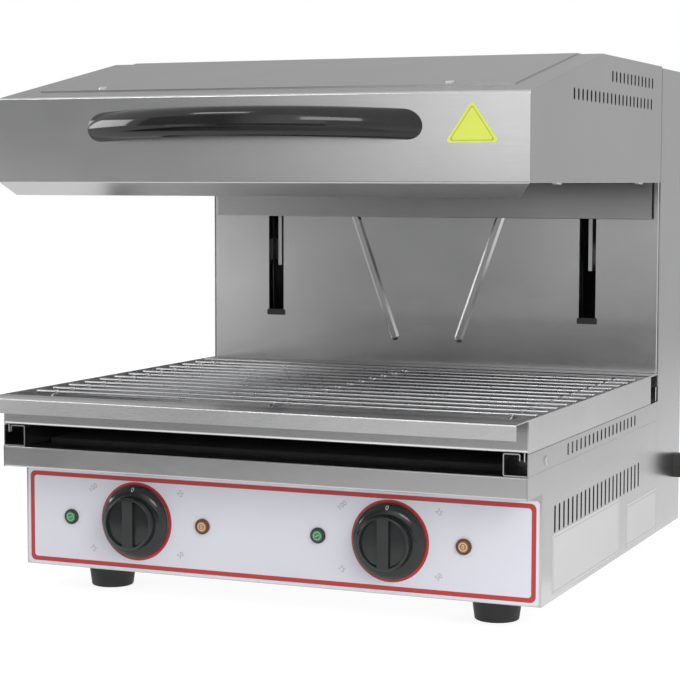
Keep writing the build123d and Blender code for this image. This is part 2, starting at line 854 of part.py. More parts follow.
foot_names = ("foot_front_left", "foot_front_right", "foot_rear_left", "foot_rear_right")
for foot_name, (foot_x, foot_y) in zip(foot_names, foot_places):
    with BuildPart() as foot:
        with BuildSketch(level(0)):
            with Locations((foot_x, foot_y)):
                Circle(foot_top_diameter / 2)
        with BuildSketch(level(-foot_height)):
            with Locations((foot_x, foot_y)):
                Circle(foot_bottom_diameter / 2)
        loft()
        fillet(foot.edges().group_by(Axis.Z)[0], foot_edge)
        with BuildSketch(level(-foot_height)):
            with Locations((foot_x, foot_y)):
                Circle(foot_screw_head / 2)
        extrude(amount=foot_recess, mode=Mode.SUBTRACT)
        with BuildSketch(level(-foot_height)):
            with Locations((foot_x, foot_y)):
                Circle(foot_screw_diameter / 2)
        extrude(amount=foot_height, mode=Mode.SUBTRACT)
    foot.part.label = foot_name
    export_step(foot.part, f"parts/{foot_name}.step")

with BuildPart() as foot_screws:
    head_seat = foot_recess - foot_height
    with BuildSketch(level(head_seat)):
        with Locations(*foot_places):
            Circle(foot_screw_head / 2 - seam)
    extrude(amount=-foot_head_height)
    with BuildSketch(level(head_seat)):
        with Locations(*foot_places):
            Circle(foot_screw_diameter / 2)
    extrude(amount=-head_seat + sheet + foot_nut_height)
    with BuildSketch(level(sheet)):
        with Locations(*foot_places):
            RegularPolygon(foot_nut_diameter / 2, 6)
    extrude(amount=foot_nut_height)
foot_screws.part.label = "foot_screws"
export_step(foot_screws.part, "parts/foot_screws.step")

# ---------------------------------------------------------------- controls

for side_name, (knob_x, knob_z) in zip(("left", "right"), knob_places):
    with BuildPart() as regulator:
        with BuildSketch(facing(sheet)):
            with Locations((knob_x, knob_z)):
                RectangleRounded(regulator_size, regulator_size, regulator_corner)
        extrude(amount=-regulator_depth)
        with BuildSketch(facing(sheet)):
            with Locations((knob_x, knob_z)):
                Circle(bush_diameter / 2)
        extrude(amount=sheet + bush_reach)
        with BuildSketch(facing(-bush_reach)):
            with Locations((knob_x, knob_z)):
                Circle(spindle_diameter / 2 + spindle_clearance)
        extrude(amount=-(bush_reach + sheet + spindle_in), mode=Mode.SUBTRACT)
    regulator.part.label = f"regulator_{side_name}"
    export_step(regulator.part, f"parts/regulator_{side_name}.step")

    with BuildPart() as spindle:
        with BuildSketch(facing(spindle_in)):
            with Locations((knob_x, knob_z)):
                Circle(spindle_diameter / 2)
        extrude(amount=spindle_in + spindle_out)
    spindle.part.label = f"spindle_{side_name}"
    export_step(spindle.part, f"parts/spindle_{side_name}.step")

    with BuildPart() as knob:
        rim_radius = skirt_diameter / 2
        grip_radius = grip_diameter / 2
        skirt_front = knob_back + skirt_rim + skirt_rise
        face = knob_back + knob_height
        hollow = bush_reach + sheet
        with BuildSketch(flank(knob_x)):
            with BuildLine():
                Polyline(
                    (-hollow, knob_z),
                    (-face, knob_z),
                    (-face, knob_z + grip_top_diameter / 2),
                    (-skirt_front, knob_z + grip_radius),
                )
                SagittaArc(
                    (-skirt_front, knob_z + grip_radius),
                    (-(knob_back + skirt_rim), knob_z + rim_radius),
                    skirt_wall / 2,
                )
                Polyline(
                    (-(knob_back + skirt_rim), knob_z + rim_radius),
                    (-knob_back, knob_z + rim_radius),
                    (-knob_back, knob_z + rim_radius - skirt_wall),
                    (-(skirt_front - skirt_wall), knob_z + grip_radius - skirt_wall),
                    (-(skirt_front - skirt_wall), knob_z + hub_diameter / 2),
                    (-hollow, knob_z + hub_diameter / 2),
                    (-hollow, knob_z),
                )
            make_face()
        revolve(axis=axis_to_front(knob_x, knob_z))
        face_rim = knob.edges().filter_by(GeomType.CIRCLE).group_by(Axis.Y)[0]
        fillet(face_rim, grip_edge)
        with BuildSketch(facing(-face)):
            with Locations((knob_x, knob_z)):
                Circle(pocket_diameter / 2)
                Rectangle(grip_bar, grip_diameter, mode=Mode.SUBTRACT)
        extrude(amount=-pocket_depth, mode=Mode.SUBTRACT)
        mouth = knob.faces().filter_by(Axis.Y).sort_by(Axis.Y)[0].inner_wires().edges()
        fillet(mouth, pocket_edge)
        with BuildSketch(facing(-hollow)):
            with Locations((knob_x, knob_z)):
                Circle(spindle_diameter / 2)
        extrude(amount=spindle_out - hollow, mode=Mode.SUBTRACT)
    knob.part.label = f"knob_{side_name}"
    export_step(knob.part, f"parts/knob_{side_name}.step")

lens_radius = lens_diameter / 2
bezel_front = -facia_thickness - lamp_rim
for colour, places in (("green", lamp_places[0::2]), ("amber", lamp_places[1::2])):
    with BuildPart() as lamp_bodies:
        with BuildSketch(facing(-facia_thickness)):
            with Locations(*places):
                Circle(lamp_diameter / 2)
        extrude(amount=lamp_rim)
        fillet(lamp_bodies.edges().group_by(Axis.Y)[0], lamp_edge)
        with BuildSketch(facing(-facia_thickness)):
            with Locations(*places):
                Circle(lamp_body_diameter / 2)
        extrude(amount=-lamp_body_length)
        with BuildSketch(facing(bezel_front)):
            with Locations(*places):
                Circle(lens_radius)
        extrude(amount=-lens_depth, mode=Mode.SUBTRACT)
    lamp_bodies.part.label = f"{colour}_lamp_bodies"
    export_step(lamp_bodies.part, f"parts/{colour}_lamp_bodies.step")

    with BuildPart() as lenses:
        with BuildSketch(facing(bezel_front + lens_depth)):
            with Locations(*places):
                Circle(lens_radius)
        extrude(amount=lens_depth + lens_dome)
        fillet(lenses.edges().group_by(Axis.Y)[0], lens_edge)
    lenses.part.label = f"{colour}_lenses"
    export_step(lenses.part, f"parts/{colour}_lenses.step")

# ---------------------------------------------------------------- pan and rack

with BuildPart() as pan:
    rear_lip = base_depth - rear_lip_gap
    with BuildSketch(flank(-half_width)):
        with BuildLine():
            pan_line = FilletPolyline(
                (-pan_front - lip_reach, pan_rim - lip_drop),
                (-pan_front - lip_reach, pan_rim),
                (-pan_front + sheet, pan_rim),
                (-pan_front + sheet, pan_floor),
                (pan_back - sheet, pan_floor),
                (pan_back - sheet, pan_rim),
                (rear_lip, pan_rim),
                (rear_lip, pan_rim - lip_drop),
                radius=bend,
            )
            offset(pan_line, amount=sheet, side=Side.RIGHT, kind=Kind.INTERSECTION)
        make_face()
    extrude(amount=casing_width)
    for side in (-1, 1):
        with BuildSketch(flank(side * half_width)):
            with Locations(((pan_back - pan_front) / 2, pan_bottom + pan_height / 2)):
                Rectangle(pan_back + pan_front, pan_height)
        extrude(amount=-side * sheet)
        runner_x = side * (inner_half - rail_mouth / 2 + sheet / 2)
        with BuildSketch(flank(runner_x)):
            with Locations(((pan_back - pan_front) / 2, pan_bottom - runner_drop / 2)):
                Rectangle(pan_back + pan_front - 2 * runner_end, runner_drop)
        extrude(amount=-side * sheet)
pan.part.label = "pan"
export_step(pan.part, "parts/pan.step")

wire_radius = wire_diameter / 2
rod_radius = rod_diameter / 2
wire_z = pan_rim - wire_radius
rod_z = wire_z - wire_radius - rod_radius + weld
wire_half = half_width - sheet - rack_side_gap
rod_start = wire_first - rod_over
rod_end = wire_first + wire_pitch * (wire_count - 1) + rod_over
leg_end = pan_floor + leg_gap
with BuildPart() as rack:
    with BuildSketch(flank(-wire_half)):
        with Locations(*row(wire_first, wire_pitch, wire_count, wire_z)):
            Circle(wire_radius)
    extrude(amount=2 * wire_half)
    for rod_x in (-(wire_half - rod_inset), 0, wire_half - rod_inset):
        with BuildLine(flank(rod_x)) as rod_line:
            FilletPolyline(
                (rod_start, leg_end),
                (rod_start, rod_z),
                (rod_end, rod_z),
                (rod_end, leg_end),
                radius=rod_bend,
            )
        with BuildSketch(level(leg_end)):
            with Locations((rod_x, rod_start)):
                Circle(rod_radius)
        sweep(path=rod_line.line)
rack.part.label = "rack"
export_step(rack.part, "parts/rack.step")

# ---------------------------------------------------------------- hood

slope_angle = atan2(hood_ridge_height - hood_top_front, hood_ridge_y + hood_overhang)
slope_plane = Plane(
    origin=(mid_x, panel_y + top_screw_y, base_z + slope_height(top_screw_y)),
    x_dir=(1, 0, 0),
    z_dir=(0, -sin(slope_angle), cos(slope_angle)),
).offset(sheet)
top_screw_x = half_width - top_screw_inset
slope_screw_places = [(-top_screw_x, 0), (top_screw_x, 0)]
under_screw_x = half_width - side_foot / 2
under_screw_depths = (under_screw_front, hood_back_y - under_screw_rear)
hood_low_start = hood_rear - hood_low_end - vent_pitch * (hood_low_count - 1)
hood_high_start = hood_rear - hood_high_end - vent_pitch * (hood_high_count - 1)
side_front = -hood_overhang + front_sheet + seam
with BuildPart() as hood_side_right:
    with BuildSketch(flank(half_width)):
        with BuildLine():
            Polyline(
                (side_front, hood_bottom + front_sheet),
                (side_front + front_sheet, hood_bottom),
                (hood_rear, hood_bottom),
                (hood_rear, hood_ridge_height),
                (hood_ridge_y, hood_ridge_height),
                (side_front, slope_height(side_front)),
                close=True,
            )
        make_face()
        with Locations(*row(hood_low_start, vent_pitch, hood_low_count, hood_bottom + hood_low_over)):
            SlotOverall(hood_vent_length, vent_width, rotation=90, mode=Mode.SUBTRACT)
        with Locations(*row(hood_high_start, vent_pitch, hood_high_count, hood_bottom + hood_high_over)):
            SlotOverall(hood_vent_length, vent_width, rotation=90, mode=Mode.SUBTRACT)
    extrude(amount=-sheet)
    with BuildSketch(flank(half_width - sheet)):
        with BuildLine():
            flange_line = Polyline(
                (side_front, slope_height(side_front)),
                (hood_ridge_y, hood_ridge_height),
                (hood_rear, hood_ridge_height),
            )
            offset(flange_line, amount=sheet, side=Side.RIGHT, kind=Kind.INTERSECTION)
        make_face()
    extrude(amount=-(side_flange - sheet))
    foot_front = -hood_overhang + side_foot_front
    foot_back = hood_back_y - seam
    with BuildSketch(level(hood_bottom)):
        with Locations((half_width - side_foot / 2, (foot_front + foot_back) / 2)):
            Rectangle(side_foot, foot_back - foot_front)
        with Locations(*[(under_screw_x, depth) for depth in under_screw_depths]):
            Circle(cover_screw_diameter / 2, mode=Mode.SUBTRACT)
    extrude(amount=sheet)
    outer_edges = hood_side_right.edges().group_by(Axis.X)[-1].filter_by(Axis.Z, reverse=True)
    fillet(outer_edges.filter_by(lambda edge: edge.length > 3 * hood_vent_length), side_edge)
hood_side_right.part.label = "hood_side_right"
export_step(hood_side_right.part, "parts/hood_side_right.step")

with BuildPart() as hood_side_left:
    mirror(hood_side_right.part, about=flank(0))
hood_side_left.part.label = "hood_side_left"
export_step(hood_side_left.part, "parts/hood_side_left.step")

top_sheet_half = half_width - top_sheet_inset
with BuildPart() as hood_top:
    with BuildSketch(flank(-top_sheet_half)):
        with BuildLine():
            top_line = Polyline(
                (top_sheet_front, slope_height(top_sheet_front)),
                (hood_ridge_y, hood_ridge_height),
                (hood_rear, hood_ridge_height),
            )
            offset(top_line, amount=sheet, side=Side.LEFT, kind=Kind.INTERSECTION)
        make_face()
    extrude(amount=2 * top_sheet_half)
    with BuildSketch(slope_plane):
        with Locations(*slope_screw_places):
            Circle(cover_screw_diameter / 2)
    extrude(amount=-2 * sheet, mode=Mode.SUBTRACT)
hood_top.part.label = "hood_top"
export_step(hood_top.part, "parts/hood_top.step")

handle_screw_places = [(side * handle_screw_x, handle_height) for side in (-1, 1)]
lip_bottom = hood_bottom - lip_fall
lip_back = -hood_overhang + lip_run
sheet_inside = -hood_overhang + front_sheet
flange_half = half_width - side_flange - seam
corner_cut = hood_ridge_height - hood_top_front + front_sheet + sheet
with BuildPart() as hood_front:
    with BuildSketch(flank(-half_width)):
        with BuildLine():
            front_line = FilletPolyline(
                (lip_back, lip_bottom),
                (-hood_overhang, hood_bottom),
                (-hood_overhang, hood_top_front),
                (front_flange_end, slope_height(front_flange_end)),
                radius=front_sheet + sheet,
            )
            offset(front_line, amount=front_sheet, side=Side.RIGHT, kind=Kind.INTERSECTION)
        make_face()
    extrude(amount=casing_width)
    with BuildSketch(facing(sheet_inside)):
        for side in (-1, 1):
            with Locations((side * (flange_half + half_width) / 2, hood_ridge_height)):
                Rectangle(half_width - flange_half, 2 * corner_cut)
    extrude(amount=-2 * hood_overhang, mode=Mode.SUBTRACT)
    with BuildSketch(level(lip_bottom)):
        for side in (-1, 1):
            with BuildLine():
                Polyline(
                    (side * half_width, -hood_overhang),
                    (side * half_width, lip_back + front_sheet),
                    (side * (half_width - lip_mitre - front_sheet), lip_back + front_sheet),
                    close=True,
                )
            make_face()
    extrude(amount=lip_fall, both=True, mode=Mode.SUBTRACT)
    with BuildSketch(facing(-hood_overhang)):
        with Locations(*handle_screw_places):
            Circle(screw_diameter / 2 + bush_hole_clearance)
    extrude(amount=-front_sheet, mode=Mode.SUBTRACT)
    with BuildSketch(slope_plane):
        with Locations(*slope_screw_places):
            Circle(cover_screw_diameter / 2)
    extrude(amount=-cover_screw_length, mode=Mode.SUBTRACT)
    fillet(hood_front.edges().filter_by(Axis.Z).group_by(Axis.Y)[0], front_edge)
hood_front.part.label = "hood_front"
export_step(hood_front.part, "parts/hood_front.step")

arm_screw_places = [
    (side * slot_x + offset_x, height)
    for side in (-1, 1)
    for offset_x in (-arm_screw_side, arm_screw_side)
    for height in (arm_bottom + arm_screw_low, carriage_top - arm_screw_high)
]
with BuildPart() as hood_back:
    back_half = half_width - skirt_inset
    back_top = hood_ridge_height - sheet
    skirt_bottom = hood_bottom - skirt_drop
    with BuildSketch(facing(hood_back_y)):
        with Locations((0, (skirt_bottom + back_top) / 2)):
            Rectangle(2 * back_half, back_top - skirt_bottom)
        with Locations(*arm_screw_places):
            Circle(cover_screw_diameter / 2, mode=Mode.SUBTRACT)
    extrude(amount=-sheet)
    with BuildSketch(facing(hood_back_y)):
        with Locations((0, skirt_bottom + hem_height / 2)):
            Rectangle(2 * back_half, hem_height)
    extrude(amount=hem_thickness - sheet)
    fillet(hood_back.edges().filter_by(Axis.X).group_by(Axis.Z)[0], sheet / 2)
hood_back.part.label = "hood_back"
export_step(hood_back.part, "parts/hood_back.step")

reflector_foot = hood_bottom + sheet
reflector_top = reflector_foot + reflector_height
reflector_half = inner_half - reflector_inset
mouth_half = reflector_half - reflector_flange
reflector_front = -hood_overhang + front_sheet + reflector_front_gap
reflector_back = hood_back_y - cover_head_height - seam
mouth_front = reflector_front + reflector_flange
mouth_back = reflector_back - sheet
element_pitch = (mouth_half - element_outer - element_inner) / (element_legs - 1)
element_places = [element_inner + element_pitch * leg for leg in range(element_legs)]
element_z = reflector_top - element_drop
leg_front = mouth_front + element_front
leg_back = mouth_back - element_rear
with BuildPart() as reflector:
    with BuildSketch(facing(mouth_front)):
        with BuildLine():
            dish_line = FilletPolyline(
                (-reflector_half, reflector_foot),
                (-mouth_half, reflector_foot),
                (-mouth_half, reflector_top),
                (mouth_half, reflector_top),
                (mouth_half, reflector_foot),
                (reflector_half, reflector_foot),
                radius=bend,
            )
            offset(dish_line, amount=sheet, side=Side.LEFT, kind=Kind.INTERSECTION)
        make_face()
    extrude(amount=-(reflector_back - mouth_front))
    for wall_front in (mouth_front, mouth_back):
        with BuildSketch(facing(wall_front)):
            with Locations((0, (reflector_foot + reflector_top) / 2)):
                Rectangle(2 * mouth_half, reflector_height)
        extrude(amount=-sheet)
    with BuildSketch(level(reflector_foot)):
        with Locations((0, (reflector_front + mouth_front) / 2)):
            Rectangle(2 * reflector_half, mouth_front - reflector_front)
    extrude(amount=sheet)
    with BuildSketch(level(reflector_foot)):
        for side in (-1, 1):
            with Locations(*[(side * under_screw_x, depth) for depth in under_screw_depths]):
                Circle(cover_screw_diameter / 2)
    extrude(amount=sheet, mode=Mode.SUBTRACT)
    with BuildSketch(level(reflector_top)):
        for side in (-1, 1):
            with Locations((side * element_places[0], leg_back), (side * element_places[-1], leg_back)):
                Circle(element_diameter / 2 + element_hole_clearance)
    extrude(amount=2 * sheet, both=True, mode=Mode.SUBTRACT)
reflector.part.label = "reflector"
export_step(reflector.part, "parts/reflector.step")

with BuildPart() as element_right:
    end_height = reflector_top + element_end
    element_points = [(element_places[0], leg_back, end_height)]
    for leg, leg_x in enumerate(element_places):
        ends = (leg_back, leg_front) if leg % 2 == 0 else (leg_front, leg_back)
        inner_back = leg_back - element_pitch / 2
        for depth in ends:
            if depth == leg_back and 0 < leg < element_legs - 1:
                depth = inner_back
            if depth == leg_back and leg == 0 and element_points[-1][1] != leg_back:
                depth = inner_back
            element_points.append((leg_x, depth, element_z))
    element_points.append((element_places[-1], leg_back, end_height))
    turn_radii = [element_pitch / 2 - seam] * (len(element_points) - 2)
    turn_radii[0] = element_bend
    turn_radii[-1] = element_bend
    with BuildLine(level(0)) as element_line:
        FilletPolyline(*element_points, radius=turn_radii)
    with BuildSketch(level(end_height)):
        with Locations((element_places[0], leg_back)):
            Circle(element_diameter / 2)
    sweep(path=element_line.line)
element_right.part.label = "element_right"
export_step(element_right.part, "parts/element_right.step")

with BuildPart() as element_left:
    mirror(element_right.part, about=flank(0))
element_left.part.label = "element_left"
export_step(element_left.part, "parts/element_left.step")

with BuildPart() as element_supports:
    strip_top = element_z - element_diameter / 2
    strip_half = mouth_half - sheet - support_inset
    for depth in (mouth_front + support_front, mouth_back - support_rear):
        with BuildSketch(facing(depth)):
            with BuildLine():
                strip_line = FilletPolyline(
                    (-strip_half, reflector_top),
                    (-strip_half, strip_top - support_thickness),
                    (strip_half, strip_top - support_thickness),
                    (strip_half, reflector_top),
                    radius=2 * support_thickness,
                )
                offset(strip_line, amount=support_thickness, side=Side.LEFT, kind=Kind.INTERSECTION)
            make_face()
        extrude(amount=-support_width)
element_supports.part.label = "element_supports"
export_step(element_supports.part, "parts/element_supports.step")

# The handle is a bow of oval section whose ends are cut flat against the front panel.
tilt = radians(handle_tilt)
handle_plane = Plane(
    origin=(mid_x, panel_y - hood_overhang, base_z + handle_height),
    x_dir=(1, 0, 0),
    z_dir=(0, -sin(tilt), -cos(tilt)),
)
bow_radius = (handle_half**2 + handle_rise**2) / (2 * handle_rise)
bow_drop = handle_section_depth
bow_end = sqrt(bow_radius**2 - (bow_radius - handle_rise - bow_drop) ** 2)
with BuildPart() as handle:
    with BuildLine(handle_plane) as bow:
        ThreePointArc((-bow_end, -bow_drop), (0, handle_rise), (bow_end, -bow_drop))
    with BuildSketch(Plane(origin=bow.line @ 0, x_dir=handle_plane.z_dir, z_dir=bow.line % 0)):
        Ellipse(handle_section_height / 2, handle_section_depth / 2)
    sweep(path=bow.line)
    split(bisect_by=facing(-hood_overhang), keep=Keep.TOP)
    with BuildSketch(facing(-hood_overhang)):
        with Locations(*handle_screw_places):
            Circle(screw_diameter / 2)
    extrude(amount=handle_screw_depth, mode=Mode.SUBTRACT)
handle.part.label = "handle"
export_step(handle.part, "parts/handle.step")

with BuildPart() as handle_screws:
    with BuildSketch(facing(-hood_overhang + front_sheet)):
        with Locations(*handle_screw_places):
            Circle(screw_diameter / 2)
    extrude(amount=front_sheet + handle_screw_depth)
    with BuildSketch(facing(-hood_overhang + front_sheet)):
        with Locations(*handle_screw_places):
            Circle(screw_head_diameter / 2)
    extrude(amount=-screw_head_height)
handle_screws.part.label = "handle_screws"
export_step(handle_screws.part, "parts/handle_screws.step")

under_screw_places = [
    (side * under_screw_x, -depth) for side in (-1, 1) for depth in under_screw_depths
]
slope_screws = screw_on(slope_plane, slope_screw_places)
under_screws = screw_on(under(hood_bottom), under_screw_places, 2 * sheet)
arm_screws = screw_on(facing(hood_back_y), arm_screw_places, sheet + arm_flange_thickness)
with BuildPart() as hood_screws:
    add([slope_screws, under_screws, arm_screws])
hood_screws.part.label = "hood_screws"
export_step(hood_screws.part, "parts/hood_screws.step")

# ---------------------------------------------------------------- lift

plate_front = base_depth + carriage_front
plate_back = plate_front + carriage_depth
arm_front = hood_back_y + sheet
bush_radius = guide_diameter / 2 + guide_clearance + bush_wall
boss_radius = bush_radius + boss_wall
plate_outer = slot_x + carriage_thickness / 2
boss_levels = (carriage_bottom + boss_low, carriage_top - boss_height)
lug_bottom = carriage_top - lug_under_top - lug_height
with BuildPart() as carriage_right:
    with BuildSketch(flank(plate_outer)):
        with BuildLine():
            Polyline(
                (arm_front, arm_bottom),
                (plate_front, arm_bottom),
                (plate_front, carriage_bottom),
                (plate_back, carriage_bottom),
                (plate_back, carriage_top),
                (arm_front, carriage_top),
                close=True,
            )
        make_face()
    extrude(amount=-carriage_thickness)
    with BuildSketch(facing(arm_front)):
        with Locations((slot_x, (arm_bottom + carriage_top) / 2)):
            Rectangle(2 * arm_flange_half, carriage_top - arm_bottom)
        with Locations(*arm_screw_places):
            Circle(cover_screw_diameter / 2, mode=Mode.SUBTRACT)
    extrude(amount=-arm_flange_thickness)
    for height in boss_levels:
        with BuildSketch(level(height)):
            with Locations(((plate_outer + guide_x) / 2, guide_depth)):
                Rectangle(guide_x - plate_outer, boss_rib)
            with Locations((guide_x, guide_depth)):
                Circle(boss_radius)
                Circle(bush_radius, mode=Mode.SUBTRACT)
        extrude(amount=boss_height)
    plate_inner = plate_outer - carriage_thickness
    with BuildSketch(level(lug_bottom)):
        with Locations(((plate_inner + strut_x) / 2, strut_depth)):
            Rectangle(plate_inner - strut_x, lug_diameter)
        with Locations((strut_x, strut_depth)):
            Circle(lug_diameter / 2)
            Circle(strut_rod_diameter / 2, mode=Mode.SUBTRACT)
    extrude(amount=lug_height)
carriage_right.part.label = "carriage_right"
export_step(carriage_right.part, "parts/carriage_right.step")

with BuildPart() as carriage_left:
    mirror(carriage_right.part, about=flank(0))
carriage_left.part.label = "carriage_left"
export_step(carriage_left.part, "parts/carriage_left.step")

with BuildPart() as guide_bushes:
    for height in boss_levels:
        with BuildSketch(level(height)):
            with Locations((-guide_x, guide_depth), (guide_x, guide_depth)):
                Circle(bush_radius)
                Circle(guide_diameter / 2 + guide_clearance, mode=Mode.SUBTRACT)
        extrude(amount=boss_height)
guide_bushes.part.label = "guide_bushes"
export_step(guide_bushes.part, "parts/guide_bushes.step")

with BuildPart() as strut_rods:
    with BuildSketch(level(lug_bottom + lug_height)):
        with Locations((-strut_x, strut_depth), (strut_x, strut_depth)):
            Circle(strut_rod_diameter / 2)
    extrude(amount=-strut_rod_length)
strut_rods.part.label = "strut_rods"
export_step(strut_rods.part, "parts/strut_rods.step")
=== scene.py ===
from math import acos, cos, pi, radians, sin, tan

import bmesh
import bpy
import numpy as np
from mathutils import Matrix, Vector


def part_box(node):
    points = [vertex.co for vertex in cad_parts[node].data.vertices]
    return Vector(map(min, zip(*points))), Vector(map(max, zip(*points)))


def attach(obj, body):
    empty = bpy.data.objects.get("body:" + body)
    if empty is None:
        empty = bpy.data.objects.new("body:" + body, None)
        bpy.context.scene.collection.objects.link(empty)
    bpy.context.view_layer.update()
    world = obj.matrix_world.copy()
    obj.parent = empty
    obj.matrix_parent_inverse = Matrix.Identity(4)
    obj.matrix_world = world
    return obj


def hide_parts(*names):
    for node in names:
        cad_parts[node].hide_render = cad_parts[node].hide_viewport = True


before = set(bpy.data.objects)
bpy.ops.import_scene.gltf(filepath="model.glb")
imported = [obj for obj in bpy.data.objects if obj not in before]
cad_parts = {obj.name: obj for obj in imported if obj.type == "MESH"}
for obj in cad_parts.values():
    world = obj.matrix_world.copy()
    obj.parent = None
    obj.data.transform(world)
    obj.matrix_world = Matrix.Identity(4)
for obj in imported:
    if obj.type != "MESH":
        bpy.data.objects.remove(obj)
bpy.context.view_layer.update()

# A lift-top salamander grill in brushed stainless steel. The pieces made here are the smooth and
# printed ones: handle, knobs, rack, heating elements, dial figures, lamp signs and stickers.
# They are drawn in millimetres from one datum: the casing's middle (x), the control panel's front
# (y, backwards) and the underside of the bottom tray (z). DATUM carries them to the frame's metres.

MM = 0.001
PANEL_LOW, PANEL_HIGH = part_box("control_panel")
MIDDLE_X = (PANEL_LOW.x + PANEL_HIGH.x) / 2
PANEL_Y = PANEL_LOW.y
TRAY_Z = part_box("base_tray")[0].z
DATUM = np.array((MIDDLE_X, PANEL_Y, TRAY_Z))
WELD = 1e-6                          # points of one piece this close, in metres, are one
SIDES = ("left", "right")


# ------------------------------------------------------------------ node helpers


def fill(tree, node, inputs):
    """Sets a node's inputs, and links those that are given a socket."""
    for key, value in inputs.items():
        if isinstance(value, bpy.types.NodeSocket):
            tree.links.new(value, node.inputs[key])
        else:
            node.inputs[key].default_value = value


def add_node(tree, kind, inputs=(), **settings):
    """A new node of a tree, with its settings made and its inputs filled."""
    made = tree.nodes.new(kind)
    for key, value in settings.items():
        setattr(made, key, value)
    fill(tree, made, dict(inputs))
    return made


def opaque(tone):
    """A colour with its alpha of one; a socket or a number stays as it is."""
    return (*tone, 1.0) if isinstance(tone, tuple) else tone


def toned(tone, factor, lift=0.0):
    """A colour made lighter or darker by a factor, and raised by a little."""
    return tuple(min(1.0, c * factor + lift) for c in tone)


class Recipe:
    """Builds one procedural material on object coordinates, node by node."""

    def __init__(self, name):
        self.material = bpy.data.materials.new(name)
        self.material.use_nodes = True
        self.tree = self.material.node_tree
        self.shader = self.tree.nodes["Principled BSDF"]
        self.coordinates = self.node("ShaderNodeTexCoord").outputs["Object"]

    def node(self, kind, inputs=(), **settings):
        return add_node(self.tree, kind, inputs, **settings)

    def noise(self, scale, stretch=(1, 1, 1), detail=2.0, rough=0.5):
        """Noise with a number of features a metre, drawn out by a factor along each axis."""
        mapping = self.node(
            "ShaderNodeMapping",
            {"Vector": self.coordinates, "Scale": tuple(scale / s for s in stretch)},
        )
        made = self.node(
            "ShaderNodeTexNoise",
            {"Vector": mapping.outputs[0], "Scale": 1.0, "Detail": detail, "Roughness": rough},
        )
        return made.outputs["Fac"]

    def spread(self, value, low, high, start=0.3, stop=0.7):
        """Stretches a value between start and stop, where noise mostly lies, over low to high."""
        return self.node(
            "ShaderNodeMapRange",
            {"Value": value, "From Min": start, "From Max": stop, "To Min": low, "To Max": high},
        ).outputs["Result"]

    def math(self, operation, first, second):
        return self.node("ShaderNodeMath", {0: first, 1: second}, operation=operation).outputs[0]

    def blend(self, share, first, second):
        """A colour between two colours or sockets; 6, 7 and 2 are the Mix node's colour sockets."""
        inputs = {0: share, 6: opaque(first), 7: opaque(second)}
        return self.node("ShaderNodeMix", inputs, data_type="RGBA").outputs[2]

    def patches(self, noise, first, second):
        """The first colour where a noise is low, turning to the second where it is high."""
        return self.blend(self.spread(noise, 0.0, 1.0), first, second)

    def bump(self, height, distance, strength=1.0, under=None):
        inputs = {"Height": height, "Distance": distance, "Strength": strength}
        if under is not None:
            inputs["Normal"] = under
        return self.node("ShaderNodeBump", inputs).outputs["Normal"]

    def set(self, **sockets):
        """Sets or links the shader's own sockets; a name's underscore stands for a space."""
        inputs = {name.replace("_", " "): opaque(value) for name, value in sockets.items()}
        fill(self.tree, self.shader, inputs)
        return self.material


# ------------------------------------------------------------------ materials

# How many features a metre each pattern has. Depths and heights below are in millimetres.
BRUSH_LINES = 2600
STEEL_CLOUDS = 5.0
STEEL_WAVES = 7.0
SMUDGES = 28
DUST = 35
PRINT_DRIFT = 9.0
PRINT_GRAIN = 700
LENS_PRISMS = 1500
LENS_CLOUDS = 260

BRUSH_LENGTH = 60                    # times as long as wide
ALONG = {"X": (BRUSH_LENGTH, 1, 1), "Y": (1, BRUSH_LENGTH, 1)}
STREAK = (0.05, 0.7)                 # share and tone of the darker brush lines
BRUSH_ROUGH = (-0.02, 0.03)          # how the brushing varies the roughness
SMUDGE_ROUGH = (-0.01, 0.02)
BRUSH_DEPTH = (0.02, 0.2)            # depth and strength
SHADE_TONE = 0.62                        # the tone of the painted shade, where its mask is full

SPOT_ROUGH = (0.8, 1.3)              # factors on a plated metal's roughness
SPOT_DEPTH = 0.02
DUST_LIFT = 0.004                    # dust lightens a dark moulding by this much
DUST_ROUGH = 1.35
PRINT_ROUGH = 0.06
PRINT_DEPTH = 0.004
LENS_DARK = 0.7
LENS_ROUGH = (0.12, 0.22)
LENS_COAT = 0.6
PRISM_HEIGHT = 0.03

# The pan's walls, where shade is painted, in datum millimetres: each pair is where the painted
# shade starts and where it is full.
WALLS_BEHIND = (-60, -50)
WALLS_ABOVE = (137, 138)
WALLS_BETWEEN = (248.6, 249.2)


def brushed_steel(name, grain, tone, rough=0.21, cloud=0.04, wave=0.2, shade_mask=None):
    """Stainless sheet: fine brushing along one axis, soft clouds, and a faint waviness.

    Given a mask, from nought to one, shade is painted on: the steel is darker where that is high.
    """
    recipe = Recipe(name)
    brush = recipe.noise(BRUSH_LINES, ALONG[grain])
    smudge = recipe.noise(SMUDGES, detail=4.0, rough=0.6)
    base = recipe.patches(
        recipe.noise(STEEL_CLOUDS), toned(tone, 1 - cloud), toned(tone, 1 + cloud)
    )
    # painted shade: the steel's colour turns darker where the mask is high
    if shade_mask is not None:
        base = recipe.blend(shade_mask(recipe), base, toned(tone, SHADE_TONE))
    most, streak_tone = STREAK
    roughness = recipe.math(
        "ADD",
        recipe.spread(brush, *(rough + change for change in BRUSH_ROUGH)),
        recipe.spread(smudge, *SMUDGE_ROUGH),
    )
    depth, strength = BRUSH_DEPTH
    wavy = recipe.bump(recipe.noise(STEEL_WAVES, detail=1.0), wave * MM)
    return recipe.set(
        Base_Color=recipe.blend(
            recipe.spread(brush, 0.0, most), base, toned(tone, streak_tone)
        ),
        Metallic=1.0,
        Roughness=roughness,
        Normal=recipe.bump(brush, depth * MM, strength, under=wavy),
    )


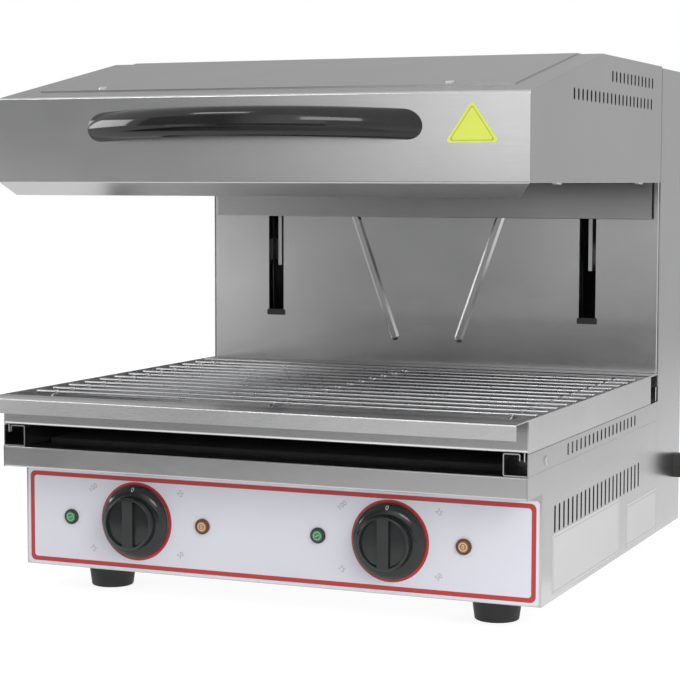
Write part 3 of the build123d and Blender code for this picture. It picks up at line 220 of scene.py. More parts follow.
def pan_wall_shade(recipe):
    """Painted shade for the walls inside the pan: one on the pan's front and back walls, nought on
    its front lip, floor and sides.

    It is the product of three ramps: over y behind the lip, over z above the floor, and over the
    distance from the middle, which falls to nought at the sides.
    """
    split = recipe.node("ShaderNodeSeparateXYZ", {"Vector": recipe.coordinates}).outputs
    behind = recipe.spread(split["Y"], 0.0, 1.0, *(PANEL_Y + y * MM for y in WALLS_BEHIND))
    above = recipe.spread(split["Z"], 0.0, 1.0, *(TRAY_Z + z * MM for z in WALLS_ABOVE))
    aside = recipe.math("ABSOLUTE", recipe.math("SUBTRACT", split["X"], MIDDLE_X), 0.0)
    between = recipe.spread(aside, 1.0, 0.0, *(x * MM for x in WALLS_BETWEEN))
    return recipe.math("MULTIPLY", recipe.math("MULTIPLY", behind, above), between)


def plain_metal(name, tone, rough, mottle=0.12, scale=120):
    """Plated or drawn metal with small spots of dullness."""
    recipe = Recipe(name)
    spots = recipe.noise(scale, detail=4.0, rough=0.6)
    return recipe.set(
        Base_Color=recipe.patches(spots, toned(tone, 1 - mottle), toned(tone, 1 + mottle)),
        Metallic=1.0,
        Roughness=recipe.spread(spots, *(rough * factor for factor in SPOT_ROUGH)),
        Normal=recipe.bump(spots, SPOT_DEPTH * MM),
    )


def moulded(name, tone, rough, grain=0.01, scale=900, vary=0.15, shine=0.5):
    """Plastic or rubber with a fine moulded grain and faint dust."""
    recipe = Recipe(name)
    dust = recipe.noise(DUST, detail=4.0, rough=0.65)
    return recipe.set(
        Base_Color=recipe.patches(dust, tone, toned(tone, 1 + vary, DUST_LIFT)),
        Roughness=recipe.spread(dust, rough, rough * DUST_ROUGH),
        Specular_IOR_Level=shine,
        Normal=recipe.bump(recipe.noise(scale), grain * MM),
    )


def painted(name, tone, rough=0.45, vary=0.05):
    """A printed or painted sheet with a faint unevenness."""
    recipe = Recipe(name)
    fine = recipe.noise(PRINT_GRAIN)
    return recipe.set(
        Base_Color=recipe.patches(
            recipe.noise(PRINT_DRIFT, detail=3.0), tone, toned(tone, 1 - vary)
        ),
        Roughness=recipe.spread(fine, rough, rough + PRINT_ROUGH),
        Normal=recipe.bump(fine, PRINT_DEPTH * MM),
    )


def lamp_lens(name, tone, glow):
    """A moulded lens: clear colour over a faint inner glow, with fine prisms."""
    recipe = Recipe(name)
    prisms = recipe.noise(LENS_PRISMS, detail=1.0)
    return recipe.set(
        Base_Color=recipe.patches(recipe.noise(LENS_CLOUDS), tone, toned(tone, LENS_DARK)),
        Roughness=recipe.spread(prisms, *LENS_ROUGH),
        Coat_Weight=LENS_COAT,
        Emission_Color=tone,
        Emission_Strength=glow,
        Normal=recipe.bump(prisms, PRISM_HEIGHT * MM),
    )


STEEL = (0.50, 0.50, 0.505)
# a darker copy of the steel: painted shade for the hood's back wall and reflector, which are seen
# in shade under the hood
SHADED_STEEL = (0.36, 0.36, 0.365)
TRAY_STEEL = (0.66, 0.66, 0.665)
KNOB_BLACK = (0.010, 0.015, 0.014)
MATERIALS = {
    "front_steel": brushed_steel("front_steel", "X", STEEL),
    "side_steel": brushed_steel("side_steel", "Y", STEEL),
    "column_steel": brushed_steel("column_steel", "X", STEEL, cloud=0.12, wave=0.45),
    # hood back and reflector: the same steel, made darker by painted shade
    "shade_darkened_steel": brushed_steel("shade_darkened_steel", "X", SHADED_STEEL, cloud=0.08),
    # the pan's steel has shade painted on its front and back walls, such as the shade under the lip
    "tray_steel": brushed_steel(
        "tray_steel", "X", TRAY_STEEL, rough=0.28, cloud=0.10, shade_mask=pan_wall_shade
    ),
    "facia": painted("facia_print", (0.80, 0.80, 0.88), 0.34),
    "red": painted("red_ink", (0.50, 0.04, 0.04), 0.4),
    "grey_ink": painted("grey_ink", (0.46, 0.46, 0.50)),
    "white_ink": painted("white_ink", (0.75, 0.75, 0.72)),
    "board": moulded("insulating_board", (0.03, 0.03, 0.03), 0.85, 0.08, 500),
    "rubber": moulded("black_rubber", (0.018, 0.018, 0.018), 0.55, 0.03, 700, 0.4),
    "gloss": moulded("black_moulding", (0.008, 0.008, 0.009), 0.07, 0.001, 500, 0.3, 0.4),
    "knob": moulded("knob_moulding", KNOB_BLACK, 0.07, 0.001, 500, 0.2, 0.42),
    "satin": moulded("dark_moulding", (0.02, 0.02, 0.02), 0.4),
    "brown": moulded("brown_moulding", (0.10, 0.030, 0.015), 0.25, 0.005),
    "green_lens": lamp_lens("green_lens", (0.02, 0.20, 0.06), 0.12),
    "amber_lens": lamp_lens("amber_lens", (0.44, 0.19, 0.045), 0.10),
    "zinc": plain_metal("zinc_plate", (0.55, 0.55, 0.54), 0.35),
    "ground": plain_metal("ground_bar", (0.72, 0.72, 0.73), 0.14, 0.05),
    "wire": plain_metal("plated_wire", (0.48, 0.48, 0.49), 0.30, 0.04),
    "sheath": plain_metal("element_sheath", (0.12, 0.11, 0.10), 0.5, 0.35, 90),
    "bronze": plain_metal("bush_bronze", (0.52, 0.36, 0.16), 0.35),
    "black_paint": painted("black_paint", (0.015, 0.015, 0.015), 0.35, 0.2),
    "green_sign": painted("green_sign", (0.26, 0.58, 0.32), 0.4),
    "amber_sign": painted("amber_sign", (0.76, 0.58, 0.38), 0.4),
    "yellow": painted("yellow_print", (0.66, 0.74, 0.09), 0.5),
    "yellow_line": painted("yellow_print_line", (0.40, 0.44, 0.05), 0.5),
    "paper": painted("sticker_white", (0.60, 0.60, 0.60), 0.5, 0.03),
    "paper_line": painted("sticker_line", (0.36, 0.36, 0.36), 0.5, 0.03),
}

WORN_BY = {
    "front_steel": ["hood_front", "hood_top", "control_panel", "deck"],
    "side_steel": [
        "hood_side_left", "hood_side_right", "base_side_left", "base_side_right",
        "rail_left", "rail_right", "rail_cover_left", "rail_cover_right",
        "column_side_left", "column_side_right", "base_tray",
    ],
    "column_steel": ["column_front", "column_back", "column_top"],
    "shade_darkened_steel": ["hood_back", "reflector"],
    "tray_steel": ["pan"],
    "facia": ["facia"],
    "red": ["facia_print"],
    "board": ["heat_shield"],
    "rubber": [
        "foot_front_left", "foot_front_right", "foot_rear_left", "foot_rear_right", "slot_buffers",
    ],
    "gloss": ["handle"],
    "knob": ["knob_left", "knob_right"],
    "satin": [
        "cable_gland", "gland_nut", "regulator_left", "regulator_right", "terminal_block",
        "green_lamp_bodies",
    ],
    "brown": ["amber_lamp_bodies"],
    "green_lens": ["green_lenses"],
    "amber_lens": ["amber_lenses"],
    "zinc": [
        "foot_screws", "casing_screws", "hood_screws", "handle_screws", "column_brackets",
        "spindle_left", "spindle_right", "carriage_left", "carriage_right", "element_supports",
    ],
    "ground": ["guide_rod_left", "guide_rod_right", "strut_rods"],
    "wire": ["rack"],
    "sheath": ["element_left", "element_right"],
    "bronze": ["guide_bushes"],
    "black_paint": ["strut_tube_left", "strut_tube_right"],
}
for finish, names in WORN_BY.items():
    for name in names:
        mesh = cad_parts[name].data
        mesh.materials.clear()
        mesh.materials.append(MATERIALS[finish])


# ------------------------------------------------------------------ shape helpers

DOME_START = 0.12                    # radians: a dome ends in a small flat, not in a point
STEEP = 0.9                          # a heading with more than this of z in it is upright


def added(name, data):
    """A new object in the scene that holds the data."""
    made = bpy.data.objects.new(name, data)
    bpy.context.scene.collection.objects.link(made)
    return made


def unit(vectors):
    """Vectors cut to length one along the last axis."""
    vectors = np.asarray(vectors, float)
    return vectors / np.linalg.norm(vectors, axis=-1, keepdims=True)


def rounded_path(corners, radii, steps=8, closed=False):
    """Runs through corner points with every corner turned into an arc; returns points and headings.

    With u the unit vector from the corner to the one before, w the one to the next, and h half the
    angle between them, the arc's centre lies radius / sin h from the corner along u + w. From its
    start the arc goes centre + (start - centre) cos t - u radius sin t, for t from 0 to pi - 2 h.
    """
    corners = np.asarray(corners, float)
    count = len(corners)
    radii = np.broadcast_to(radii, count)
    points, headings = [], []
    if not closed:
        points.append(corners[:1])
        headings.append(unit(corners[1:2] - corners[:1]))
    for index in range(count) if closed else range(1, count - 1):
        corner, radius = corners[index], radii[index]
        u = unit(corners[index - 1] - corner)
        w = unit(corners[(index + 1) % count] - corner)
        half = acos(np.clip(u @ w, -1, 1)) / 2
        start = corner + u * radius / tan(half)
        centre = corner + unit(u + w) * radius / sin(half)
        t = np.linspace(0, pi - 2 * half, steps + 1)[:, None]
        points.append(centre + (start - centre) * np.cos(t) - u * radius * np.sin(t))
        headings.append(unit(-(start - centre) * np.sin(t) - u * radius * np.cos(t)))
    if not closed:
        points.append(corners[-1:])
        headings.append(unit(corners[-1:] - corners[-2:-1]))
    return np.concatenate(points), np.concatenate(headings)


def grid_faces(rows, columns, wrap, start=0):
    """Quads of a grid numbered row after row; wrap joins the last column to the first."""
    last = columns if wrap else columns - 1
    row, column = np.meshgrid(np.arange(rows - 1), np.arange(last), indexing="ij")
    beside = (column + 1) % columns
    corners = (
        row * columns + column,
        row * columns + beside,
        (row + 1) * columns + beside,
        (row + 1) * columns + column,
    )
    return (np.stack(corners, axis=-1).reshape(-1, 4) + start).tolist()


class Shape:
    """Points in datum millimetres and the faces over them, added up sheet by sheet."""

    def __init__(self):
        self.points = np.empty((0, 3))
        self.faces = []

    def grid(self, points, wrap):
        """Faces over a grid of rows by columns by three; returns where its points start."""
        start = len(self.points)
        self.points = np.vstack((self.points, points.reshape(-1, 3)))
        self.faces += grid_faces(*points.shape[:2], wrap, start)
        return start

    def rings(self, rings, capped=(0, -1)):
        """A closed skin over a stack of rings, with a flat cap on the rings that are named."""
        rows, columns = rings.shape[:2]
        start = self.grid(rings, True)
        for row in capped:
            first = start + row % rows * columns
            self.faces.append(list(range(first, first + columns)))
        return self

    def sheet(self, points):
        """An open sheet over a grid."""
        self.grid(points, False)

    def piece(self, name, finish, body, slot=None, smooth=35, replaces=(), bevel=0):
        """The mesh in place, its doubles merged, its faces outward, riding on its body."""
        mesh = bpy.data.meshes.new(name)
        mesh.from_pydata((DATUM + self.points * MM).tolist(), [], self.faces)
        work = bmesh.new()
        work.from_mesh(mesh)
        bmesh.ops.remove_doubles(work, verts=work.verts, dist=WELD)
        bmesh.ops.recalc_face_normals(work, faces=work.faces)
        work.to_mesh(mesh)
        work.free()
        mesh.shade_smooth()
        mesh.set_sharp_from_angle(angle=radians(smooth))
        mesh.materials.append(MATERIALS[finish])
        piece = added(name, mesh)
        if bevel:
            edge = piece.modifiers.new("edges", "BEVEL")
            edge.width = bevel * MM
            edge.segments = 2
            edge.limit_method = "ANGLE"
            edge.angle_limit = radians(smooth)
        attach(piece, body)
        if replaces:
            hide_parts(*replaces)


def tube(points, headings, guide, radius, sides=12):
    """Rings of a round tube: point + radius (cos v n + sin v b), n square to heading and guide."""
    across = unit(np.cross(np.broadcast_to(guide, headings.shape), headings))
    upward = np.cross(headings, across)
    v = np.linspace(0, 2 * pi, sides, endpoint=False)[None, :, None]
    reach = np.broadcast_to(radius, len(points))[:, None, None]
    ring = np.cos(v) * across[:, None] + np.sin(v) * upward[:, None]
    return points[:, None] + reach * ring


def rod(start, stop, radius, sides=12, steps=4):
    """A straight round rod with domed ends.

    Each dome takes half a radius of the length: at t from 0 to a quarter turn the ring's radius is
    radius sin t and it lies (1 - cos t) radius / 2 in from the end.
    """
    start, stop = np.asarray(start, float), np.asarray(stop, float)
    heading = unit(stop - start)
    t = np.linspace(DOME_START, pi / 2, steps)
    inward = ((1 - np.cos(t)) * radius / 2)[:, None] * heading
    sizes = radius * np.sin(t)
    points = np.concatenate((start + inward, (stop - inward)[::-1]))
    guide = (0, 0, 1) if abs(heading[2]) < STEEP else (1, 0, 0)
    headings = np.broadcast_to(heading, points.shape)
    return tube(points, headings, guide, np.concatenate((sizes, sizes[::-1])), sides)


def circle(steps):
    """Points round a circle of radius one, from its right side."""
    turn = np.linspace(0, 2 * pi, steps, endpoint=False)
    return np.stack((np.cos(turn), np.sin(turn)), axis=-1)


def lathe(profile, centre, angles):
    """Rings about a line square to the panel: profile holds (distance in front, radius) pairs."""
    profile = np.asarray(profile, float)
    front, radius = profile[:, 0, None], profile[:, 1, None]
    x, z = centre
    return np.stack(
        (x + radius * np.sin(angles), -front + 0 * angles, z + radius * np.cos(angles)), axis=-1
    )


def on_front(depth):
    """An upright plane that faces the front, depth behind the panel: origin, right, up, outward."""
    return tuple(np.array(v) for v in ((0, depth, 0), (1, 0, 0), (0, 0, 1), (0, -1, 0)))


def on_right(across):
    """An upright plane that faces right, as far from the middle as given."""
    return tuple(np.array(v) for v in ((across, 0, 0), (0, 1, 0), (0, 0, 1), (1, 0, 0)))


def laid(plane, flat, height=0.0):
    """Flat points (across, up) laid on a plane and lifted off it."""
    origin, right, up, outward = plane
    flat = np.asarray(flat, float)
    return origin + flat[:, :1] * right + flat[:, 1:2] * up + height * outward


def plate(plane, outline, thickness, base=0.0):
    """Two copies of a closed outline, the upper one lifted by the plate's thickness."""
    return np.stack((laid(plane, outline, base), laid(plane, outline, base + thickness)))


def band(plane, outer, inner, thickness, base=0.0):
    """A flat ring of even thickness between two outlines of as many points."""
    low, high = base, base + thickness
    stack = ((outer, low), (outer, high), (inner, high), (inner, low), (outer, low))
    return np.stack([laid(plane, outline, height) for outline, height in stack])


def rectangle(left, right, low, high, corner, steps=6):
    """The outline of a rectangle with rounded corners."""
    corners = ((left, low), (right, low), (right, high), (left, high))
    return rounded_path(corners, corner, steps, closed=True)[0]


def figure(name, text, size, finish, body, lay, thickness=0.05):
    """A printed figure: Blender's own letters made a mesh, then carried to the surface by lay.

    lay takes the flat points (across, up) in millimetres and their height, and gives datum points.
    """
    curve = bpy.data.curves.new(name, "FONT")
    curve.body = text
    curve.size = size
    curve.align_x = "CENTER"
    curve.align_y = "CENTER"
    curve.extrude = thickness / 2
    curve.resolution_u = 4
    written = bpy.data.objects.new(name + "_curve", curve)
    mesh = bpy.data.meshes.new_from_object(written)
    bpy.data.objects.remove(written)
    bpy.data.curves.remove(curve)
    points = np.empty(len(mesh.vertices) * 3)
    mesh.vertices.foreach_get("co", points)
    points = points.reshape(-1, 3)
    placed = DATUM + lay(points[:, :2], points[:, 2] + thickness / 2) * MM
    mesh.vertices.foreach_set("co", placed.ravel())
    mesh.name = name
    mesh.materials.clear()
    mesh.materials.append(MATERIALS[finish])
    piece = added(name, mesh)
    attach(piece, body)


# ------------------------------------------------------------------ handle

HOOD_FACE = -42.0                    # front of the hood, from the control panel
HANDLE_HEIGHT = 403.0
HANDLE_HALF = 141.6                  # middle to where the bow's axis meets the hood
HANDLE_RISE = 34.0
HANDLE_TILT = radians(5.0)
HANDLE_SECTION = (7.49, 12.8)        # half depth and half height of its oval section
HANDLE_STEPS = (97, 48)              # along the bow and round its section


def make_handle():
    """The bow: an oval section carried along an arc of a circle and cut where it meets the hood.

    With R the arc's radius, t along the arc and v round the section, a point lies at
    centre + (R + a cos v) (sin t across + cos t out) + b sin v up, where out and up are tilted.
    Each lengthwise line stops at cos t = (R - rise + b sin v tan tilt) / (R + a cos v), which is
    on the hood's face.
    """
    radius = (HANDLE_HALF**2 + HANDLE_RISE**2) / (2 * HANDLE_RISE)
    deep, high = HANDLE_SECTION
    along, around = HANDLE_STEPS
    across = np.array((1, 0, 0))
    out = np.array((0, -cos(HANDLE_TILT), sin(HANDLE_TILT)))
    up = np.array((0, sin(HANDLE_TILT), cos(HANDLE_TILT)))
    centre = np.array((0, HOOD_FACE, HANDLE_HEIGHT)) - (radius - HANDLE_RISE) * out
    v = np.linspace(0, 2 * pi, around, endpoint=False)
    reach = radius + deep * np.cos(v)
    foot = radius - HANDLE_RISE + high * np.sin(v) * tan(HANDLE_TILT)
    share = np.sin(np.linspace(-pi / 2, pi / 2, along))
    t = share[:, None] * np.arccos(foot / reach)
    rings = (
        centre
        + (reach * np.sin(t))[..., None] * across
        + (reach * np.cos(t))[..., None] * out
        + np.broadcast_to((high * np.sin(v))[:, None] * up, t.shape + (3,))
    )
    Shape().rings(rings).piece("bow_handle", "gloss", "hood", "black_plastic", replaces=("handle",))


# ------------------------------------------------------------------ knobs

# A pair (distance, radius) is a point of the knob's section: how far in front of the panel and how
# far from the knob's axis.
CONTROL_Z = 47.0
KNOB_X = {"left": -134.0, "right": 114.0}
KNOB_BACK = 2.6                      # distance of the skirt's back edge
RIM = (4.4, 33.4)                    # where the skirt's line starts, and the rim's rounding ends
RIM_ROUND = 1.2
RIM_TURN = radians(50)               # how far the rim is rounded before the skirt takes over
RIM_STEPS = 5
SKIRT_BULGE = 1.1
SKIRT_START = 0.1                    # share of the skirt's line that the rounding takes
SKIRT_STEPS = 9
GRIP_FOOT = (9.4, 24.5)              # where the grip stands on the skirt
GRIP_TOP = (18.2, 23.5)              # the outer edge of its face
FACE_ROUND = 1.4
FACE_STEPS = 6
KNOB_WALL = 2.2
HOLLOW = 7.2                         # how far in front of the panel the skirt's hollow reaches
HUB = (5.0, 8.0)                     # the hub's back edge
BORE = (14.0, 3.0)                   # the spindle hole's end
POCKET = (21.6, 20.4)                # the pockets' radius at the mouth and at the floor
BAR = (5.2, 6.2)                     # half width of the grip bar, at its top and at its foot
POCKET_DEPTH = (3.6, 0.03)           # at the middle, and how it grows upwards
KNOB_EDGE = 0.35                     # width of the small bevel along its sharp edges
FACE_COLUMNS = 49
FLOOR_ROWS = 9

SKIRT_LENGTH = 10.2                  # from rim to grip, along the skirt's line
ZERO_AT = 0.42                       # the figure's middle, as a share of the skirt's line
ZERO_SIZE = 6.0


def skirt_line(share):
    """The skirt's section from its rim (0) to the grip (1): a chord plus a bulge 4 b s (1 - s)."""
    share = np.asarray(share, float)[..., None]
    rim, foot = np.array(RIM), np.array(GRIP_FOOT)
    along = unit(foot - rim)
    outward = np.array((-along[1], along[0]))
    return rim + share * (foot - rim) + 4 * SKIRT_BULGE * share * (1 - share) * outward


def rounded_edge(distance, radius, rounding, t):
    """A round edge: (distance - c (1 - cos t), radius - c (1 - sin t)), with c the rounding."""
    return np.stack(
        (distance - rounding * (1 - np.cos(t)), radius - rounding * (1 - np.sin(t))), axis=-1
    )


def knob_section():
    """The knob's section from the face's edge over grip, skirt and rim into its hollow and bore."""
    face_edge = rounded_edge(*GRIP_TOP, FACE_ROUND, np.linspace(0, pi / 2, FACE_STEPS))
    skirt = skirt_line(np.linspace(1, SKIRT_START, SKIRT_STEPS))
    rim_edge = rounded_edge(*RIM, RIM_ROUND, pi / 2 - np.linspace(RIM_TURN, 0, RIM_STEPS))
    inside = [
        (KNOB_BACK, RIM[1]), (KNOB_BACK, RIM[1] - KNOB_WALL), (HOLLOW, GRIP_FOOT[1] - KNOB_WALL),
        (HOLLOW, HUB[1]), HUB, (HUB[0], BORE[1]), BORE,
    ]
    return np.concatenate((face_edge, skirt, rim_edge, inside))


def make_knob(side):
    """A skirted knob: one turned skin, and a face with two pockets that leave a grip bar.

    The face's columns stand at x = R sin f. Each runs from rim to rim through the pocket's mouth
    and floor, at plus and minus sqrt(radius^2 - x^2), and sinks by the pocket's depth between them,
    less towards the bar and at the pocket's ends.
    """
    x0 = KNOB_X[side]
    flat = GRIP_TOP[1] - FACE_ROUND
    bar_columns = [np.arcsin(sign * half / flat) for half in BAR for sign in (-1, 1)]
    columns = np.concatenate((np.linspace(-pi / 2, pi / 2, FACE_COLUMNS), bar_columns))
    columns = np.unique(np.round(columns, 4))
    angles = np.concatenate((columns, pi - columns[::-1][1:-1]))
    shape = Shape().rings(lathe(knob_section(), (x0, CONTROL_Z), angles), capped=(-1,))

    x = flat * np.sin(columns)
    rim, mouth, floor = (np.sqrt(np.maximum(r**2 - x**2, 0)) for r in (flat, *POCKET))
    inner = np.linspace(-1, 1, FLOOR_ROWS)[:, None] * floor
    level_rows = np.zeros((2, len(x)))
    z = np.concatenate(([-rim, -mouth], inner, [mouth, rim]))
    sunk = np.concatenate((level_rows, np.ones_like(inner), level_rows))
    near_bar = np.clip((np.abs(x) - BAR[0]) / (BAR[1] - BAR[0]), 0, 1)
    near_end = np.clip((POCKET[0] - np.abs(x)) / (POCKET[0] - POCKET[1]), 0, 1)
    depth = (POCKET_DEPTH[0] + POCKET_DEPTH[1] * z) * sunk * near_bar * near_end
    shape.sheet(
        np.stack((x0 + np.broadcast_to(x, z.shape), depth - GRIP_TOP[0], CONTROL_Z + z), axis=-1)
    )
    name = f"knob_{side}"
    shape.piece(f"turned_{name}", "knob", name, "black_plastic", 30, (name,), bevel=KNOB_EDGE)

    def on_skirt(flat_points, height):
        """Up on the paper is inwards along the skirt's line, and across is round the knob."""
        section = skirt_line(ZERO_AT + flat_points[:, 1] / SKIRT_LENGTH)
        distance, radius = section[:, 0], section[:, 1]
        turn = flat_points[:, 0] / skirt_line(ZERO_AT)[1]
        return np.stack(
            (x0 + radius * np.sin(turn), -(distance + height), CONTROL_Z + radius * np.cos(turn)),
            axis=-1,
        )

    figure(f"knob_zero_{side}", "0", ZERO_SIZE, "white_ink", name, on_skirt)


# ------------------------------------------------------------------ lamp signs

LAMP_REACH = {"green": -67.5, "amber": 67.5}     # from the knob's middle to the lamp's
LENS_FRONT = 3.4                     # the lens's face, in front of the panel
INK = 0.04
SIGN_RING = (3.7, 3.0)               # outer and inner radius
SIGN_WAVE = (2.1, 0.7)               # half length and height
SIGN_LOOP = 0.8                      # radius of each small loop
SIGN_STROKE = 0.6
RING_STEPS = 40
WAVE_STEPS = 25


def make_lamp_sign(colour, side, number):
    """A pale ring on the lens with a sign inside: a wave, or two loops one above the other.

    The wave is a stroke of even width along z = h sin(pi x / w); a ring lies between two circles.
    """
    centre = np.array((KNOB_X[side] + LAMP_REACH[colour], CONTROL_Z))
    plane = on_front(-LENS_FRONT)
    shape = Shape()

    def ring(middle, outer, inner):
        outlines = (middle + radius * circle(RING_STEPS) for radius in (outer, inner))
        shape.rings(band(plane, *outlines, INK), capped=())

    ring(centre, *SIGN_RING)
    half = SIGN_STROKE / 2
    if colour == "green":
        length, height = SIGN_WAVE
        x = np.linspace(-length, length, WAVE_STEPS)
        line = np.stack((x, height * np.sin(pi * x / length)), axis=-1)
        slope = height * pi / length * np.cos(pi * x / length)
        square = unit(np.stack((-slope, np.ones_like(slope)), axis=-1)) * half
        outline = np.concatenate((line + square, (line - square)[::-1]))
        shape.rings(plate(plane, centre + outline, INK))
    else:
        for lift in (-SIGN_LOOP, SIGN_LOOP):
            ring(centre + np.array((0, lift)), SIGN_LOOP + half, SIGN_LOOP - half)
    shape.piece(f"{colour}_sign_{number}", f"{colour}_sign", "casing", f"{colour}_lens")


# ------------------------------------------------------------------ rack

WIRE_TOP = 162.4
WIRE_RADIUS = 1.6
WIRE_HALF = 243.0                    # half the length of a wire
WIRE_FIRST = 8.0                     # the front wire, behind the panel
WIRE_PITCH = 29.3
WIRE_COUNT = 12
ROD_RADIUS = 2.0
ROD_INSET = 22.0                     # the outer rods, in from the wires' ends
ROD_OVER = 10.0                      # the rods reach this far past the first and last wire
ROD_BEND = 6.0
WELD_DEPTH = 1.2
WELD_COLLAR = (3.4, 2.1)             # half length and radius of the swelling at a weld
LEG_FOOT = 135.8


def make_rack():
    """Straight wires with domed ends, and three cross rods under them whose ends bend down."""
    wire_z = WIRE_TOP - WIRE_RADIUS
    rod_places = (ROD_INSET - WIRE_HALF, 0, WIRE_HALF - ROD_INSET)
    reach, swelling = WELD_COLLAR
    wires = Shape()
    for y in WIRE_FIRST + WIRE_PITCH * np.arange(WIRE_COUNT):
        wires.rings(rod((-WIRE_HALF, y, wire_z), (WIRE_HALF, y, wire_z), WIRE_RADIUS))
        for x in rod_places:
            wires.rings(rod((x - reach, y, wire_z), (x + reach, y, wire_z), swelling))
    wires.piece("rack_wires", "wire", "rack", "rack_wire", replaces=("rack",))

    rods = Shape()
    rod_z = wire_z - WIRE_RADIUS - ROD_RADIUS + WELD_DEPTH
    front = WIRE_FIRST - ROD_OVER
    back = WIRE_FIRST + WIRE_PITCH * (WIRE_COUNT - 1) + ROD_OVER
    for x in rod_places:
        corners = ((x, front, LEG_FOOT), (x, front, rod_z), (x, back, rod_z), (x, back, LEG_FOOT))
        points, headings = rounded_path(corners, ROD_BEND)
        rods.rings(tube(points, headings, (1, 0, 0), ROD_RADIUS))
    rods.piece("rack_rods", "wire", "rack", "rack_wire")


# ------------------------------------------------------------------ heating elements

ELEMENT_Z = 371.0
ELEMENT_TOP = 402.0                  # the upper end of the bent-up ends
ELEMENT_RADIUS = 4.0
ELEMENT_FIRST = 20.0                 # the innermost leg, from the middle
ELEMENT_PITCH = 36.01
ELEMENT_LEGS = 6
ELEMENT_FRONT = 12.0
ELEMENT_BACK = 355.15
ELEMENT_BEND = 12.0
ELEMENT_STEPS = 10                   # in each turn
ELEMENT_SIDES = 16
SEAM = 0.15                          # left between two quarter turns, so that no points meet


def make_element(side, sign):
    """A sheathed heating element: legs side by side joined by half turns, its ends bent upwards.

    The tube's guide turns with it: upwards along the legs, and sideways where it stands upright.
    """
    places = ELEMENT_FIRST + ELEMENT_PITCH * np.arange(ELEMENT_LEGS)
    turn = ELEMENT_PITCH / 2
    corners = [(places[0], ELEMENT_BACK, ELEMENT_TOP)]
    for leg, x in enumerate(places):
        back = ELEMENT_BACK if leg in (0, ELEMENT_LEGS - 1) else ELEMENT_BACK - turn
        ends = (back, ELEMENT_FRONT) if leg % 2 == 0 else (ELEMENT_FRONT, back)
        corners += [(x, y, ELEMENT_Z) for y in ends]
    corners.append((places[-1], ELEMENT_BACK, ELEMENT_TOP))
    radii = np.full(len(corners), turn - SEAM)
    radii[1] = radii[-2] = ELEMENT_BEND
    points, headings = rounded_path(np.array(corners) * (sign, 1, 1), radii, ELEMENT_STEPS)
    standing = np.abs(headings[:, 2:3])
    guide = np.array((0, 0, 1.0)) * (1 - standing) + np.array((sign, 0, 0)) * standing
    shape = Shape().rings(tube(points, headings, guide, ELEMENT_RADIUS, ELEMENT_SIDES))
    name = f"element_{side}"
    shape.piece(f"heating_{name}", "sheath", "hood", "element_sheath", replaces=(name,))


# ------------------------------------------------------------------ stickers and dial figures

STICKER = 0.12                       # thickness of a sticker
LINE = 0.05                          # and of a line printed on it
TRIANGLE = (387.5, 421.6, 177.2, 224.0)      # lower and upper edge, left and right corner
TRIANGLE_LINE = (0.86, 0.80)         # the line's two edges, as shares of the triangle
TRIANGLE_CORNER = (2.2, 1.5)         # radii of the triangle's corners and of the line's

BASE_SIDE = 250.0                    # the base's right side, from the middle
# Each sticker's front, back, lower and upper edge.
STICKERS = {"long": (31.0, 248.0, 4.0, 56.5), "short": (274.5, 391.0, 4.5, 46.0)}
STICKER_LINE = (2.4, 2.9)            # the line's two edges, in from the sticker's
STICKER_CORNER = (1.5, 1.2)          # radii of the sticker's corners and of the line's

FACIA = 0.4                          # the printed sheet stands this far out of the panel
# Each figure, and the side of the knob that it stands on: right or left, above or below.
DIAL_MARKS = (("25", 1, 1), ("50", 1, -1), ("75", -1, -1), ("100", -1, 1))
MARK_REACH = (45.0, 28.0)            # sideways and upwards from the knob's middle
MARK_SIZE = 6.6
MARK_LEAN = radians(40)


def make_sticker(name, line_name, finish, body, plane, outline, line_edges):
    """A thin sheet, and a line printed on it between two outlines."""
    Shape().rings(plate(plane, outline, STICKER)).piece(name, finish, body)
    line = Shape().rings(band(plane, *line_edges, LINE, STICKER), capped=())
    line.piece(line_name, f"{finish}_line", body)


def make_triangle():
    """A blank yellow triangle with rounded corners and a darker line set in from its edge."""
    low, high, left, right = TRIANGLE
    corners = np.array(((left, low), (right, low), ((left + right) / 2, high)))
    centre = np.array(((left + right) / 2, low + (high - low) / 3))
    corner, line_corner = TRIANGLE_CORNER
    outline = rounded_path(corners, corner, closed=True)[0]
    line_edges = [
        rounded_path(centre + (corners - centre) * share, line_corner, closed=True)[0]
        for share in TRIANGLE_LINE
    ]
    make_sticker(
        "yellow_triangle", "triangle_line", "yellow", "hood", on_front(HOOD_FACE), outline,
        line_edges,
    )


def make_stickers():
    """Two blank white stickers with a thin grey line round each."""
    corner, line_corner = STICKER_CORNER
    for kind, (front, back, low, high) in STICKERS.items():
        name = f"{kind}_sticker"
        outline = rectangle(front, back, low, high, corner)
        line_edges = [
            rectangle(front + inset, back - inset, low + inset, high - inset, line_corner)
            for inset in STICKER_LINE
        ]
        make_sticker(
            name, f"{name}_line", "paper", "casing", on_right(BASE_SIDE), outline, line_edges
        )


def make_dial_marks():
    """Faint grey figures at the four corners round each knob, leaning along the dial."""
    for side, x0 in KNOB_X.items():
        for text, right, up in DIAL_MARKS:
            lean = -right * up * MARK_LEAN
            turn = np.array(((cos(lean), sin(lean)), (-sin(lean), cos(lean))))
            at = np.array((x0 + right * MARK_REACH[0], CONTROL_Z + up * MARK_REACH[1]))

            def on_facia(flat, height):
                x, z = (flat @ turn + at).T
                return np.stack((x, -(FACIA + height), z), axis=-1)

            name = f"mark_{text}_{side}"
            figure(name, text, MARK_SIZE, "grey_ink", "casing", on_facia)


make_handle()
make_rack()
for side, sign in zip(SIDES, (-1, 1)):
    make_knob(side)
    make_element(side, sign)
for number, side in enumerate(SIDES, 1):
    for colour in LAMP_REACH:
        make_lamp_sign(colour, side, number)
make_triangle()
make_stickers()
make_dial_marks()


# ------------------------------------------------------------------ camera and studio

